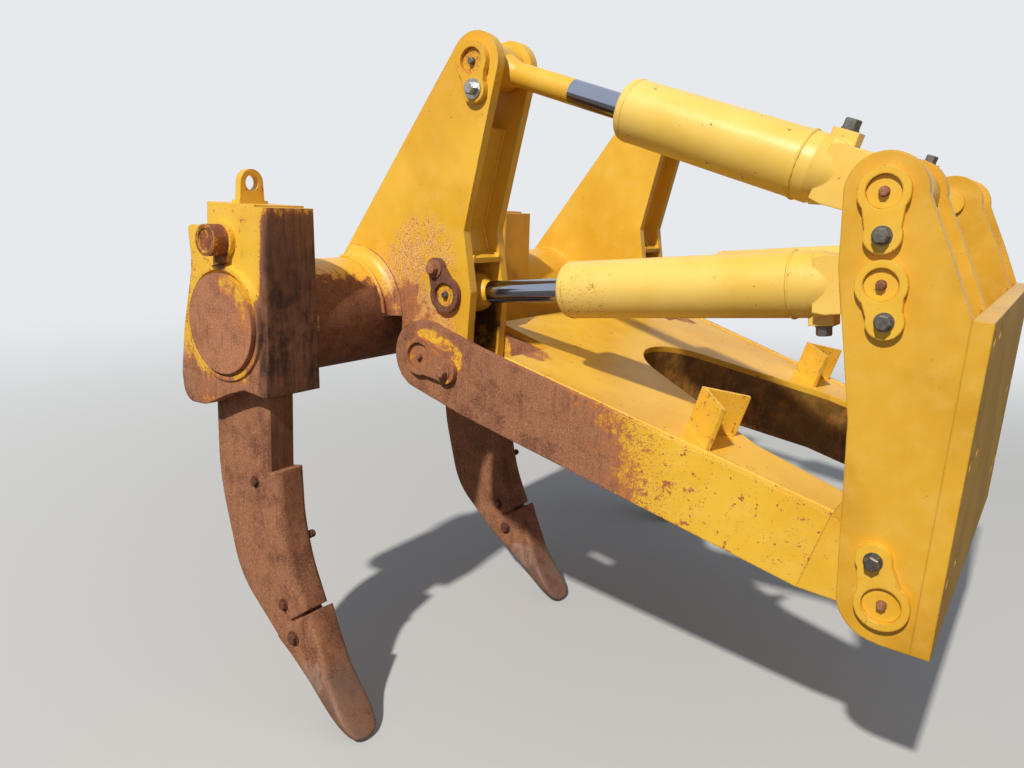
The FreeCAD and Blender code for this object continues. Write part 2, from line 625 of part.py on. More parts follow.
def shank_pin():
    """Pin that holds a shank in its pocket, its head on the outer side."""
    near = -pocket_half(SHANK_PIN_HEIGHT) - PIN_BOSS
    pin = shank_pin_place()
    outer = near - SHANK_PIN_HEAD
    dish = disc(pin, SHANK_PIN_DISH[0], outer, outer + SHANK_PIN_DISH[1])
    return fused(disc(pin, SHANK_PIN_R, near - 4.0, pocket_half(SHANK_PIN_HEIGHT) + 12.0),
                 disc(pin, SHANK_PIN_HEAD_R, outer, near)).cut(dish)


def shank_edges(gap):
    """Front edge of a shank from its nose upward, moved forward by a gap."""
    front = SHANK_DEPTH / 2 + gap
    slope = SHANK_DEPTH / 2 - 121.0 + gap
    return [(SHANK_NOSE_FRONT[0] + SHANK_DEPTH / 2 + gap, SHANK_NOSE_FRONT[1], 0),
            (153.0 + slope, -699.0, 500.0),
            (front, -459.0, 500.0)]


def nose_line():
    """Ends of the shank's nose, behind and in front, from the tube's axis."""
    rear = (SHANK_NOSE_REAR[0] - SHANK_DEPTH / 2, SHANK_NOSE_REAR[1])
    front = (SHANK_NOSE_FRONT[0] + SHANK_DEPTH / 2, SHANK_NOSE_FRONT[1])
    return rear, front


def shank():
    """Curved digging leg with its nose cut square to the point."""
    rear, half = -SHANK_DEPTH / 2, SHANK_THICK / 2
    nose = nose_line()
    cut = SHANK_TOP_CUT
    body = rounded(from_tube([(rear + cut[0], SHANK_TOP, 10.0), (rear + cut[0], SHANK_TOP - 34.0, 0),
                              (rear, SHANK_TOP - cut[1], 0), (rear, -479.0, 700.0),
                              (rear + 88.0, -779.0, 260.0),
                              (nose[0][0], nose[0][1], 0)] + shank_edges(0.0) + [(-rear, SHANK_TOP, 10.0)]),
                   -half, half)
    return body.cut(disc(shank_pin_place(), SHANK_PIN_R + SEAT, -half, half))


def shank_guard():
    """Wear guard over the shank's front edge, with a cheek on each side."""
    front = SHANK_DEPTH / 2
    outer = SHANK_THICK / 2 + GUARD_CHEEK
    body = rounded(from_tube([(front - 81.0, -432.0, 8.0), (front + GUARD_FRONT, -405.0, 0),
                              (front + GUARD_FRONT + 12.0, -560.0, 500.0),
                              (front + GUARD_FRONT + 48.0, -684.0, 500.0),
                              (front + GUARD_FRONT + 103.0, -797.0, 0),
                              (front + 75.0, -848.0, 10.0)]), -outer, outer)
    nose = TUBE_AXIS[0] + front + GUARD_FRONT - 1.0
    low = TUBE_AXIS[1] - 796.0
    body = eased(body, GUARD_EASE, lambda p: abs(p.y) > outer - 1.0 and p.x > nose and p.z > low)
    room = shank_edges(SEAT)
    half = SHANK_THICK / 2 + SEAT
    back = -SHANK_DEPTH
    shadow = rounded(from_tube([(back, 200.0, 0), (back, -960.0, 0), (room[0][0] - 60.0, -960.0, 0)] + room
                               + [(room[2][0], 200.0, 0)]), -half, half)
    return body.cut(shadow)


def shank_point():
    """Digging point: a wedge that narrows to its edge on the ground."""
    rear, front = nose_line()
    wide, tip = POINT_WIDTH / 2, POINT_TIP_WIDTH / 2
    end = rear[0] + POINT_LENGTH
    low = -TIP_DROP
    body = rounded(from_tube([(rear[0] - 2.0, rear[1] - 2.0, 0), (front[0] + 54.0, front[1] + 46.0, 8.0),
                              (end - 112.0, low + 155.0, 500.0), (end - 10.0, low + 22.0, 8.0),
                              (end - 20.0, low, 6.0), (end - 76.0, low + 40.0, 160.0),
                              (end - 220.0, low + 132.0, 260.0)]), -wide, wide)
    x0, x1, x2 = (TUBE_AXIS[0] + v for v in (rear[0] - 20.0, rear[0] + 122.0, end))
    plan = [(x0, -wide), (x1, -wide), (x2, -tip), (x2, tip), (x1, wide), (x0, wide)]
    prism = plan_strip(plan, TUBE_AXIS[1] + low - 10.0, TUBE_AXIS[1] - 500.0)
    room = [(rear[0] - 80.0, rear[1] + 168.0), (rear[0] - 80.0, rear[1] - 1.0),
            (rear[0], rear[1] - SEAT), (front[0], front[1] - SEAT),
            (front[0] + 54.0, front[1] + 45.0), (front[0] + 54.0, rear[1] + 168.0)]
    above = extruded([(TUBE_AXIS[0] + x, TUBE_AXIS[1] + z) for x, z in room], -wide, wide)
    return body.common(prism).cut(above)


def at_side(shape, side):
    """Place a piece made at the centre line on one of the three shank lines."""
    placed = mirrored(shape) if side > 0 else shape.copy()
    placed.translate(Vector(0, side * SHANK_SPACING, 0))
    return placed


def make_beam():
    """Pockets, shanks with guards, points and pins, and the tube that joins them."""
    pins, caps = [], []
    for name, side in (("right", -1), ("centre", 0), ("left", 1)):
        save("pocket_" + name, at_side(pocket(side != 0), side))
        save("shank_" + name, at_side(shank(), side))
        save("shank_guard_" + name, at_side(shank_guard(), side))
        save("shank_point_" + name, at_side(shank_point(), side))
        pins.append(at_side(shank_pin(), side))
        if side:
            y = -cap_face()
            caps.append(at_side(disc(TUBE_AXIS, CAP_R, y, y + CAP_RIM + CAP_PROUD), side))
    save("shank_pins", *pins)
    save("end_caps", *caps)
    tube = disc(TUBE_AXIS, TUBE_R, -SHANK_SPACING, 0)
    tube = tube.cut(disc(TUBE_AXIS, TUBE_R - TUBE_WALL, -SHANK_SPACING, 0))
    taper = pocket_taper(-400.0, 500.0, (-400.0, 400.0))
    tube = tube.cut(at_side(taper, -1)).cut(taper)
    save_both("cross_tube", tube)


def turned(shape, start, end):
    """Turn a shape made along +X from the origin to run from start to end."""
    angle = math.degrees(math.atan2(start[1] - end[1], end[0] - start[0]))
    moved = shape.copy()
    moved.rotate(Vector(0, 0, 0), Vector(0, 1, 0), angle)
    moved.translate(Vector(start[0], -CYLINDER_LINE, start[1]))
    return moved


def round_bar(radius, x0, x1):
    return Part.makeCylinder(radius, x1 - x0, Vector(x0, 0, 0), Vector(1, 0, 0))


def cylinder_rod(length):
    """Rod with its eye at the origin, and the middle of the pin that the eye holds."""
    half = EYE_WIDTH / 2
    rod = fused(round_bar(ROD_R, 0, length), disc((0, 0), EYE_R, -half, half),
                Part.makeCone(46.0, ROD_R, 40.0, Vector(EYE_R - 14.0, 0, 0), Vector(1, 0, 0)))
    rod = rod.cut(disc((0, 0), ROD_PIN_R + SEAT, -half - 1, half + 1))
    middle = disc((0, 0), ROD_PIN_R, -TOWER_GAP / 2 + 1.0, TOWER_GAP / 2 - 1.0)
    return rod, middle


def cylinder_barrel(length, port_side):
    """Barrel with its head's eye at the origin and its mouth at the given length."""
    half = EYE_WIDTH / 2
    neck = HEAD_NECK
    profile = [(0, -EYE_R), (neck, -EYE_R - 6.0), (HEAD_LENGTH - 20.0, -BARREL_R + 3.0),
               (HEAD_LENGTH - 20.0, BARREL_R - 3.0), (neck, EYE_R + 6.0), (0, EYE_R)]
    round_in = Part.makeCone(BARREL_R + 26.0, BARREL_R + 2.0, HEAD_LENGTH, Vector(0, 0, 0), Vector(1, 0, 0))
    casting = extruded(profile, -half, half).common(round_in)
    shoulder = Part.makeCone(half - 1.0, BARREL_R, HEAD_LENGTH - neck, Vector(neck, 0, 0), Vector(1, 0, 0))
    tube = eased(round_bar(BARREL_R, HEAD_LENGTH, length), MOUTH_EASE, lambda p: p.x > length - 1.0)
    head = fused(tube, shoulder, casting, disc((0, 0), EYE_R, -half, half))
    port = box((PORT_START, PORT_START + PORT_LENGTH), (-26.0, 26.0), (0, BARREL_R + PORT_PROUD))
    if port_side < 0:
        port.rotate(Vector(0, 0, 0), Vector(1, 0, 0), 180)
    inside = fused(round_bar(BARREL_R - BARREL_WALL, BORE_END, length - GLAND),
                   round_bar(ROD_R + SEAT, length - GLAND - 10.0, length + 1.0))
    return fused(head, port).cut(inside).cut(disc((0, 0), HEAD_PIN_R + FIT, -half - 1, half + 1))


def make_cylinders():
    # columns: name, rod pin, head pin, rod length, pin to mouth, side of the port block
    table = (("lift", LIFT_ROD_PIN, LIFT_HEAD_PIN, LIFT_ROD_LENGTH, LIFT_MOUTH, -1),
             ("tilt", TILT_ROD_PIN, TILT_HEAD_PIN, TILT_ROD_LENGTH, TILT_MOUTH, 1))
    for name, rod_pin, head_pin, rod_length, mouth, port in table:
        span = math.hypot(head_pin[0] - rod_pin[0], head_pin[1] - rod_pin[1])
        rod, middle = cylinder_rod(rod_length)
        rod = turned(rod, rod_pin, head_pin)
        middle = turned(middle, rod_pin, head_pin)
        barrel = turned(cylinder_barrel(span - mouth, -port), head_pin, rod_pin)
        for side, turn in (("right", lambda s: s), ("left", mirrored)):
            save(name + "_rod_" + side, turn(rod), turn(middle))
            save(name + "_barrel_" + side, turn(barrel))
            axis = ((head_pin[0] - rod_pin[0]) / span, (head_pin[1] - rod_pin[1]) / span)
        print(name, "axis", [round(v, 6) for v in axis], "span", round(span, 2))


make_bracket()
make_head_pins()
make_arm()
make_arm_pins()
make_towers()
make_tower_pins()
make_beam()
make_cylinders()
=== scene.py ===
# %% [markdown]
# # A bulldozer ripper and its mounting bracket
# A ripper tears hard ground with the points of its shanks, here three on one cross tube.
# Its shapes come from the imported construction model, and this lesson gives them their
# looks: worn yellow paint, rust, chrome, welds, bolts and a plain studio. Lengths are
# metres. +X points forward, +Y to the left and +Z up.

# %% Load the fixed frame
import bpy
import bmesh
import math
from mathutils import Matrix, Vector
from types import SimpleNamespace


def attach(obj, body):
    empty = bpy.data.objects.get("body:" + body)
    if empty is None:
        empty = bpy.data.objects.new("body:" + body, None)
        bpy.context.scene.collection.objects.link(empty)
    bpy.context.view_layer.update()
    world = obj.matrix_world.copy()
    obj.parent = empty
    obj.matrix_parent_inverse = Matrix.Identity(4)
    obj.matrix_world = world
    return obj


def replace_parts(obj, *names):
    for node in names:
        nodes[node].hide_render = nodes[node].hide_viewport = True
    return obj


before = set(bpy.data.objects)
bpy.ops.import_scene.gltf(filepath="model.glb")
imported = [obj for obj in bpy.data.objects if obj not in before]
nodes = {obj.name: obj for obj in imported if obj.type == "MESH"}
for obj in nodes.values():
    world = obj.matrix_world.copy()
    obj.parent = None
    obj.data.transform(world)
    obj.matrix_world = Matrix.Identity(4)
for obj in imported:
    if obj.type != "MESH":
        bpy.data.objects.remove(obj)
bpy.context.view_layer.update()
scene = bpy.context.scene

# %% [markdown]
# ## Camera and studio
# The camera stands where the picture was taken from: about two and a half metres to the
# right of the ripper, looking forward and to the left, a little down, with a slight roll.
# A camera's own axes are right, up and back, so three unit vectors give its rotation
# straight away, with no angles to fiddle with.

# %% Camera
CAMERA_PLACE = (0.1054, -2.4551, 0.4426)
YAW, PITCH, ROLL = (math.radians(a) for a in (34.573, 13.385, -3.110))
ahead = Vector((-math.sin(YAW) * math.cos(PITCH), math.cos(YAW) * math.cos(PITCH), -math.sin(PITCH)))
level = Vector((math.cos(YAW), math.sin(YAW), 0))
below = ahead.cross(level)
right = math.cos(ROLL) * level + math.sin(ROLL) * below
up = math.sin(ROLL) * level - math.cos(ROLL) * below
lens = bpy.data.cameras.new("camera")
lens.sensor_width = 36.0
lens.lens = 27.874
camera = bpy.data.objects.new("camera", lens)
camera.matrix_world = Matrix.Translation(CAMERA_PLACE) @ Matrix((right, up, -ahead)).transposed().to_4x4()
scene.collection.objects.link(camera)
scene.camera = camera
print("camera looks along", [round(v, 3) for v in ahead])

# %% [markdown]
# Every material here is a tree of nodes that the script wires up, because a procedural
# finish keeps its true size in metres and needs no pictures. A few one-line helpers, each
# for one kind of node, keep the recipes short enough to read as sums.

# %% Node helpers
def colour(red, green, blue):
    """A shader colour from the 0-255 values that a picture shows."""
    return tuple((v / 255) ** 2.2 for v in (red, green, blue)) + (1.0,)


def node(tree, kind, inputs=None, **settings):
    """One node of any tree. A socket given as a value is linked, anything else is set."""
    made = tree.nodes.new(kind)
    for key, value in settings.items():
        setattr(made, key, value)
    for key, value in (inputs or {}).items():
        if isinstance(value, bpy.types.NodeSocket):
            tree.links.new(value, made.inputs[key])
        else:
            made.inputs[key].default_value = value
    return made


def add(tree, kind, inputs=None, **settings):
    """One shader node."""
    return node(tree, "ShaderNode" + kind, inputs, **settings)


def maths(tree, operation, a, b=0.0, clamp=False):
    return add(tree, "Math", {0: a, 1: b}, operation=operation, use_clamp=clamp).outputs[0]


def total(tree, first, *others):
    """The sum of any number of values."""
    for other in others:
        first = maths(tree, "ADD", first, other)
    return first


def ramp(tree, value, low, high):
    """0 below low, 1 above high, with a soft step between."""
    return add(tree, "MapRange", {0: value, 1: low, 2: high}, interpolation_type="SMOOTHSTEP").outputs[0]


def blend(tree, share, a, b):
    """Colour a where share is 0, and colour b where it is 1."""
    return add(tree, "Mix", {0: share, 6: a, 7: b}, data_type="RGBA").outputs[2]


def noise(tree, where, scale, detail=4.0, rough=0.55):
    settings = {"Vector": where, "Scale": scale, "Detail": detail, "Roughness": rough}
    return add(tree, "TexNoise", settings).outputs[0]


def stretched(tree, where, scale):
    """Coordinates scaled by axis: a small number draws the pattern out along that axis."""
    return add(tree, "Mapping", {"Vector": where, "Scale": scale}).outputs[0]


def node_material(name):
    """A new material with its tree and its shader."""
    material = bpy.data.materials.new(name)
    material.use_nodes = True
    return material, material.node_tree, material.node_tree.nodes["Principled BSDF"]


print("a picture's mid grey is", round(colour(128, 128, 128)[0], 3), "to the shader")

# %% [markdown]
# The studio is a pale floor, an even pale sky and two lamps. The floor could be lit up to
# near white, but then it would throw light up under the ripper. So it looks pale to the
# camera and sends little light back, as dark ground would, and faces that look forward or
# down fall into deep shade. Far away it fades into the colour of the sky.

# %% Floor
FLOOR_Z, FLOOR_REACH = -1.0805, 30
FADE_NEAR, FADE_FAR = 2.5, 9.0
STUDIO_PALE = (0.8, 0.82, 0.84, 1)
floor_mesh = bpy.data.meshes.new("floor")
corners = [(x * FLOOR_REACH, y * FLOOR_REACH, FLOOR_Z) for x, y in ((-1, -1), (1, -1), (1, 1), (-1, 1))]
floor_mesh.from_pydata(corners, [], [(0, 1, 2, 3)])
floor = bpy.data.objects.new("floor", floor_mesh)
scene.collection.objects.link(floor)
pale, tree, matt = node_material("pale_floor")
matt.inputs["Base Color"].default_value = (0.6, 0.6, 0.59, 1)
matt.inputs["Roughness"].default_value = 0.9
bounce = add(tree, "BsdfDiffuse", {"Color": (0.2, 0.17, 0.14, 1)})
far_glow = add(tree, "Emission", {"Color": STUDIO_PALE})
to_camera = add(tree, "LightPath").outputs["Is Camera Ray"]
place = add(tree, "TexCoord").outputs["Object"]
reach = add(tree, "VectorMath", {0: place}, operation="LENGTH").outputs["Value"]
fade = maths(tree, "MULTIPLY", ramp(tree, reach, FADE_NEAR, FADE_FAR), to_camera)
seen_floor = add(tree, "MixShader", {0: to_camera, 1: bounce.outputs[0], 2: matt.outputs[0]})
faded_floor = add(tree, "MixShader", {0: fade, 1: seen_floor.outputs[0], 2: far_glow.outputs[0]})
tree.links.new(faded_floor.outputs[0], tree.nodes["Material Output"].inputs["Surface"])
floor_mesh.materials.append(pale)
print("floor at", FLOOR_Z, "m, fading between", FADE_NEAR, "and", FADE_FAR, "m")

# %% [markdown]
# The sky lights the ripper faintly and a little blue, while the camera and the chrome see
# an even pale backdrop. The key lamp stands where the sun does in the picture, worked out
# from the shadow on the cross tube: square to the ripper's right side and about 45
# degrees up. It is small and far away, so shadows are crisp.

# %% Sky and lamps
sky = bpy.data.worlds.new("sky")
scene.world = sky
sky.use_nodes = True
tree = sky.node_tree
glow = tree.nodes["Background"]
glow.inputs["Color"].default_value = (0.8, 0.88, 1.0, 1)
glow.inputs["Strength"].default_value = 0.27
backdrop = add(tree, "Background", {"Color": STUDIO_PALE})
rays = add(tree, "LightPath").outputs
shown = maths(tree, "MAXIMUM", rays["Is Camera Ray"], rays["Is Glossy Ray"])
sky_mix = add(tree, "MixShader", {0: shown, 1: glow.outputs[0], 2: backdrop.outputs[0]})
tree.links.new(sky_mix.outputs[0], tree.nodes["World Output"].inputs["Surface"])


def lamp(name, place, target, size, power, tint):
    """A square soft lamp that faces a target."""
    data = bpy.data.lights.new(name, "AREA")
    data.size = size
    data.energy = power
    data.color = tint
    made = bpy.data.objects.new(name, data)
    made.location = place
    made.rotation_euler = (Vector(target) - Vector(place)).to_track_quat("-Z", "Y").to_euler()
    scene.collection.objects.link(made)
    return made


lamp("key", (0.92, -21.5, 21.0), (-1.2, -0.3, -0.2), size=0.9, power=9600, tint=(1.0, 0.96, 0.9))
lamp("fill", (5.0, -3.0, 2.5), (-1.2, 0, -0.3), size=4.0, power=8, tint=(0.92, 0.96, 1.0))
scene.view_settings.view_transform = "Standard"

# %% [markdown]
# ## Weathered steel
# Almost every surface is steel in one of a few states: sound yellow paint, paint with
# chips and scratches, paint stained by rust, and bare rust. A material could be painted
# for each piece, but one recipe serves them all, and its steps follow.
# First come the patterns that each finish draws on. They read Object coordinates, so they
# keep their true size in metres. Broad noise varies whole plates, middle noise breaks up
# edges, flakes and fine noise chip the coat, streaks run down, and scrapes lean both ways.

# %% Patterns
PAINT = (colour(242, 190, 62), colour(228, 170, 44))
RUST = (colour(112, 68, 48), colour(160, 106, 76), colour(208, 154, 114))
SCRAPE_SIZE = (0.0075, 0.0075, 0.05)
SCRAPE_LEANS = (0.6, -0.45)
CORNER = 0.005


def patterns(tree):
    """The noises and the rounded normal that every finish draws on."""
    where = add(tree, "TexCoord").outputs["Object"]
    leaning = [add(tree, "Mapping", {"Vector": where, "Rotation": (0, lean, 0), "Scale": SCRAPE_SIZE},
                   vector_type="TEXTURE").outputs[0] for lean in SCRAPE_LEANS]
    return SimpleNamespace(
        where=where,
        broad=noise(tree, where, 3.1, 3),
        middle=noise(tree, where, 17.0, 5, 0.65),
        flakes=noise(tree, where, 42.0, 4, 0.7),
        fine=noise(tree, where, 240.0, 3, 0.7),
        streak=noise(tree, stretched(tree, where, (75, 75, 9)), 1.0, 3, 0.65),
        scrape=maths(tree, "MAXIMUM", *(noise(tree, lean, 1.0, 2, 0.5) for lean in leaning)),
        rounded=add(tree, "Bevel", {"Radius": CORNER}, samples=3).outputs[0])


def swing(tree, value, amount):
    """A noise value, centred on nought and scaled."""
    return add(tree, "Math", {0: value, 1: amount, 2: -0.5 * amount}, operation="MULTIPLY_ADD").outputs[0]


print("paint and rust,", len(PAINT) + len(RUST), "colours")

# %% [markdown]
# Real wear has places: under the tube, at the towers' feet, along the arm's rear half. A
# vertex colour could hold them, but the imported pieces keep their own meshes, so each place
# is a zone in space, a soft ellipsoid with a centre, radii and an amount. The two sides
# share them. A radius of WIDE lets a zone run through the whole width.

# %% Zones
WIDE = 9.0


def zone_sum(tree, where, zones):
    """Adds soft blobs: each zone is centre, radii and amount, the same on both sides."""
    apart = add(tree, "SeparateXYZ", {0: where})
    side = maths(tree, "ABSOLUTE", apart.outputs[1])
    folded = add(tree, "CombineXYZ", {0: apart.outputs[0], 1: side, 2: apart.outputs[2]}).outputs[0]
    result = 0.0
    for centre, radii, amount in zones:
        away = add(tree, "VectorMath", {0: folded, 1: centre}, operation="SUBTRACT").outputs[0]
        away = add(tree, "VectorMath", {0: away, 1: radii}, operation="DIVIDE").outputs[0]
        far = add(tree, "VectorMath", {0: away}, operation="LENGTH").outputs["Value"]
        near = add(tree, "MapRange", {0: far, 1: 1.25, 2: 0.6, 3: 0.0, 4: amount},
                   interpolation_type="SMOOTHSTEP")
        result = maths(tree, "ADD", near.outputs[0], result)
    return result


print("a zone through the whole width has a radius of", WIDE, "m")

# %% [markdown]
# Next come the masks. One value says how far the coat has gone: zones, worn corners and
# the noises, added up. A corner shows itself because the Bevel node turns the normal there.
# Where the value is high the steel is bare, and thin chips and specks are bare too, even
# in sound paint. Scuffs are where loose rock has rubbed: slanted scrapes, dense in zones.

# %% Masks
BARE_FROM, BARE_FULL = 0.47, 0.54


def lost_coat(tree, p, zones, level, edge, drips):
    """How far the coat has gone, from 0 for sound paint to 1 for bare rust."""
    flat = add(tree, "NewGeometry").outputs["Normal"]
    same = add(tree, "VectorMath", {0: p.rounded, 1: flat}, operation="DOT_PRODUCT").outputs["Value"]
    corner = maths(tree, "MULTIPLY", ramp(tree, same, 0.995, 0.86), edge)
    return total(tree, zone_sum(tree, p.where, zones), level, corner, swing(tree, p.broad, 0.4),
                 swing(tree, p.middle, 0.5), swing(tree, p.flakes, 0.6), swing(tree, p.fine, 0.4),
                 swing(tree, p.streak, drips))


def bare_steel(tree, p, gone, spots):
    """1 where the steel is bare: whole patches, thin chips and specks."""
    chips, speck = 0.75 - 0.12 * spots, 0.74 - 0.09 * spots
    chips = ramp(tree, total(tree, p.flakes, maths(tree, "MULTIPLY", gone, 0.16)), chips, chips + 0.02)
    speck = ramp(tree, total(tree, p.fine, maths(tree, "MULTIPLY", gone, 0.3)), speck, speck + 0.04)
    patches = maths(tree, "MAXIMUM", ramp(tree, gone, BARE_FROM, BARE_FULL), chips)
    return maths(tree, "MAXIMUM", patches, speck)


def rubbed(tree, p, scuff):
    """Where rock has rubbed the coat."""
    dense = maths(tree, "MULTIPLY", zone_sum(tree, p.where, scuff), 0.3)
    marks = total(tree, maths(tree, "MULTIPLY", p.scrape, 0.6), dense, swing(tree, p.middle, 0.18))
    return maths(tree, "MULTIPLY", ramp(tree, marks, 0.51, 0.55), 0.85)


print("steel is bare where the value passes", BARE_FROM, "to", BARE_FULL)

# %% [markdown]
# The masks choose between two skins. Paint is mottled, stained where rust is near, and pale or orange where
# it is rubbed. Rust is three browns with dark grains and runs, darkened nearly to black as painted shade in
# the zones given, and fresh orange along the edge of the coat, where it creeps on.

# %% Colours of paint and rust
def painted(tree, p, gone, rub, coat):
    faded = maths(tree, "MULTIPLY", ramp(tree, p.middle, 0.4, 0.75), 0.16)
    stain = maths(tree, "MULTIPLY", ramp(tree, gone, 0.36, 0.5), 0.5)
    marks = blend(tree, ramp(tree, p.fine, 0.38, 0.58), colour(174, 102, 52), colour(248, 196, 130))
    skin = blend(tree, ramp(tree, p.broad, 0.35, 0.65), coat[0], coat[1])
    skin = blend(tree, faded, skin, colour(250, 216, 128))
    skin = blend(tree, stain, skin, colour(190, 118, 42))
    return blend(tree, rub, skin, marks)


def rusted(tree, p, gone, rust, painted_shade):
    tone = total(tree, p.middle, swing(tree, p.broad, 0.6))
    skin = blend(tree, ramp(tree, tone, 0.25, 0.6), rust[0], rust[1])
    for share, most, tint in ((ramp(tree, p.fine, 0.45, 0.75), 0.6, rust[2]),
                              (ramp(tree, p.fine, 0.48, 0.3), 0.45, colour(74, 42, 30)),
                              (ramp(tree, p.streak, 0.52, 0.75), 0.35, colour(66, 38, 28))):
        skin = blend(tree, maths(tree, "MULTIPLY", share, most), skin, tint)
    # painted shade: rust darkened nearly to black on faces that look forward, where shade falls
    if painted_shade:
        patch = total(tree, p.middle, swing(tree, p.streak, 0.45), swing(tree, p.fine, 0.5))
        shade_share = maths(tree, "MULTIPLY", zone_sum(tree, p.where, painted_shade), ramp(tree, patch, 0.22, 0.66))
        skin = blend(tree, shade_share, skin, colour(48, 28, 20))
    rim = maths(tree, "MULTIPLY", ramp(tree, gone, 0.68, 0.5), 0.5)
    return blend(tree, rim, skin, colour(206, 116, 56))


print("rust runs from", [round(v, 3) for v in RUST[0][:3]], "to", [round(v, 3) for v in RUST[2][:3]])

# %% [markdown]
# The whole finish puts these together and adds what lies on top: steel that the ground has polished, pale
# dried clay, and oil, whose dark patches between the towers' plates are partly painted shade. The same masks
# drive colour, roughness and relief, so that rust is brown, dull and rough in the same places. The relief is
# in metres: a thin film of paint over pitted steel, with shallow dents.

# %% The weathered steel recipe
def pitted(tree, p, bare, rub):
    """The normal of the finished surface."""
    pits = add(tree, "Math", {0: bare, 1: 0.0012, 2: 0.00015}, operation="MULTIPLY_ADD").outputs[0]
    relief = total(tree, maths(tree, "MULTIPLY", p.fine, pits), maths(tree, "MULTIPLY", bare, -0.0005),
                   maths(tree, "MULTIPLY", rub, -0.0003), maths(tree, "MULTIPLY", p.broad, 0.006))
    settings = {"Height": relief, "Normal": p.rounded, "Distance": 1.0, "Strength": 1.0}
    return add(tree, "Bump", settings).outputs[0]


def weathered(name, zones=(), level=0.0, edge=0.3, coat=PAINT, rust=RUST, scuff=(), spots=0.3, drips=0.25,
              oil_and_shade=(), polish=(), painted_shade=(), dust=()):
    """Painted or bare steel. Level 0 is sound paint and 1 is rust all over."""
    material, tree, shader = node_material(name)
    p = patterns(tree)
    gone = lost_coat(tree, p, zones, level, edge, drips)
    bare = bare_steel(tree, p, gone, spots)
    rub = rubbed(tree, p, scuff)
    skin = blend(tree, bare, painted(tree, p, gone, rub, coat), rusted(tree, p, gone, rust, painted_shade))
    dull = total(tree, maths(tree, "MULTIPLY", bare, 0.42), maths(tree, "MULTIPLY", p.middle, 0.25))
    dull = maths(tree, "ADD", dull, 0.27, clamp=True)
    if polish:
        shine = total(tree, zone_sum(tree, p.where, polish), swing(tree, p.middle, 0.9))
        shine = ramp(tree, shine, 0.3, 0.95)
        skin = blend(tree, shine, skin, colour(132, 110, 98))
        dull = add(tree, "Mix", {0: shine, 2: dull, 3: 0.4}).outputs[0]
        tree.links.new(maths(tree, "MULTIPLY", shine, 0.75), shader.inputs["Metallic"])
    if dust:
        clay = total(tree, zone_sum(tree, p.where, dust), swing(tree, p.middle, 0.9),
                     swing(tree, p.streak, 0.6))
        clay = maths(tree, "MULTIPLY", ramp(tree, clay, 0.35, 0.8), 0.7)
        skin = blend(tree, clay, skin, colour(204, 172, 152))
    # a near-black patch: partly real oil, partly painted shade between the towers' plates
    if oil_and_shade:
        oil_and_shade_share = ramp(tree, total(tree, zone_sum(tree, p.where, oil_and_shade), swing(tree, p.middle, 0.9)), 0.4, 0.7)
        skin = blend(tree, maths(tree, "MULTIPLY", oil_and_shade_share, 0.92), skin, colour(38, 30, 25))
        dull = add(tree, "Mix", {0: oil_and_shade_share, 2: dull, 3: 0.3}).outputs[0]
    tree.links.new(pitted(tree, p, bare, rub), shader.inputs["Normal"])
    tree.links.new(skin, shader.inputs["Base Color"])
    tree.links.new(dull, shader.inputs["Roughness"])
    return material


print("one recipe,", len(weathered.__defaults__), "choices")

# %% [markdown]
# Chrome is the opposite: one plated metal with fine turning marks round the rod, tinted dark blue-grey as a
# painted reflection of a blue sky, and a film of oil, which near the lift rods' eyes is partly painted shade.
# The tilt rods are painted over near their eyes, so that their chrome starts with a sharp ring partway along.
# Paint and plate are two shaders, and the distance along the rod chooses between them.

# %% Chrome rods
# oil near the lift rods' eyes, darkened further as painted shade between the towers' plates
ROD_OIL_AND_SHADE = ((-1.40, 0.56, 0.14), (0.06, 0.1, 0.1), 0.5)


def chrome(name, start, direction, painted_to):
    """Bright plated steel beyond a distance along the rod, worn yellow paint before it."""
    material = weathered(name, level=-0.05, edge=0.25, spots=0.4, oil_and_shade=(ROD_OIL_AND_SHADE,))
    tree = material.node_tree
    coat = tree.nodes["Principled BSDF"]
    plate = add(tree, "BsdfPrincipled")
    where = add(tree, "TexCoord").outputs["Object"]
    away = add(tree, "VectorMath", {0: where, 1: start}, operation="SUBTRACT").outputs[0]
    along = add(tree, "VectorMath", {0: away, 1: direction}, operation="DOT_PRODUCT").outputs["Value"]
    marks = noise(tree, stretched(tree, where, (420, 12, 12)), 1.0, 2)
    smear = noise(tree, where, 12.0, 4)
    # painted reflection: the plate is tinted dark blue-grey as if it mirrored a blue sky
    plate.inputs["Base Color"].default_value = colour(158, 166, 186)
    plate.inputs["Metallic"].default_value = 1.0
    rough = total(tree, maths(tree, "MULTIPLY", smear, 0.16), maths(tree, "MULTIPLY", marks, 0.08))
    tree.links.new(rough, plate.inputs["Roughness"])
    ragged = maths(tree, "MULTIPLY", maths(tree, "SUBTRACT", smear, 0.5), 0.004)
    beyond = ramp(tree, total(tree, along, ragged), painted_to, painted_to + 0.001)
    mixed = add(tree, "MixShader", {0: beyond, 1: coat.outputs[0], 2: plate.outputs[0]})
    tree.links.new(mixed.outputs[0], tree.nodes["Material Output"].inputs["Surface"])
    return material


# the zone of oil and painted shade near the lift rods' eyes
print("oil lies round", ROD_OIL_AND_SHADE[0])

# %% [markdown]
# ## A finish for each piece
# The zones below are read off the picture: rust over the rear half of the arm's side
# plates, over the pockets' fronts and feet, under the cross tube, and at the towers'
# feet, while the tops stay bright. The pieces could each have their own material, but
# most share one with others of their kind, so a table of choices is enough.

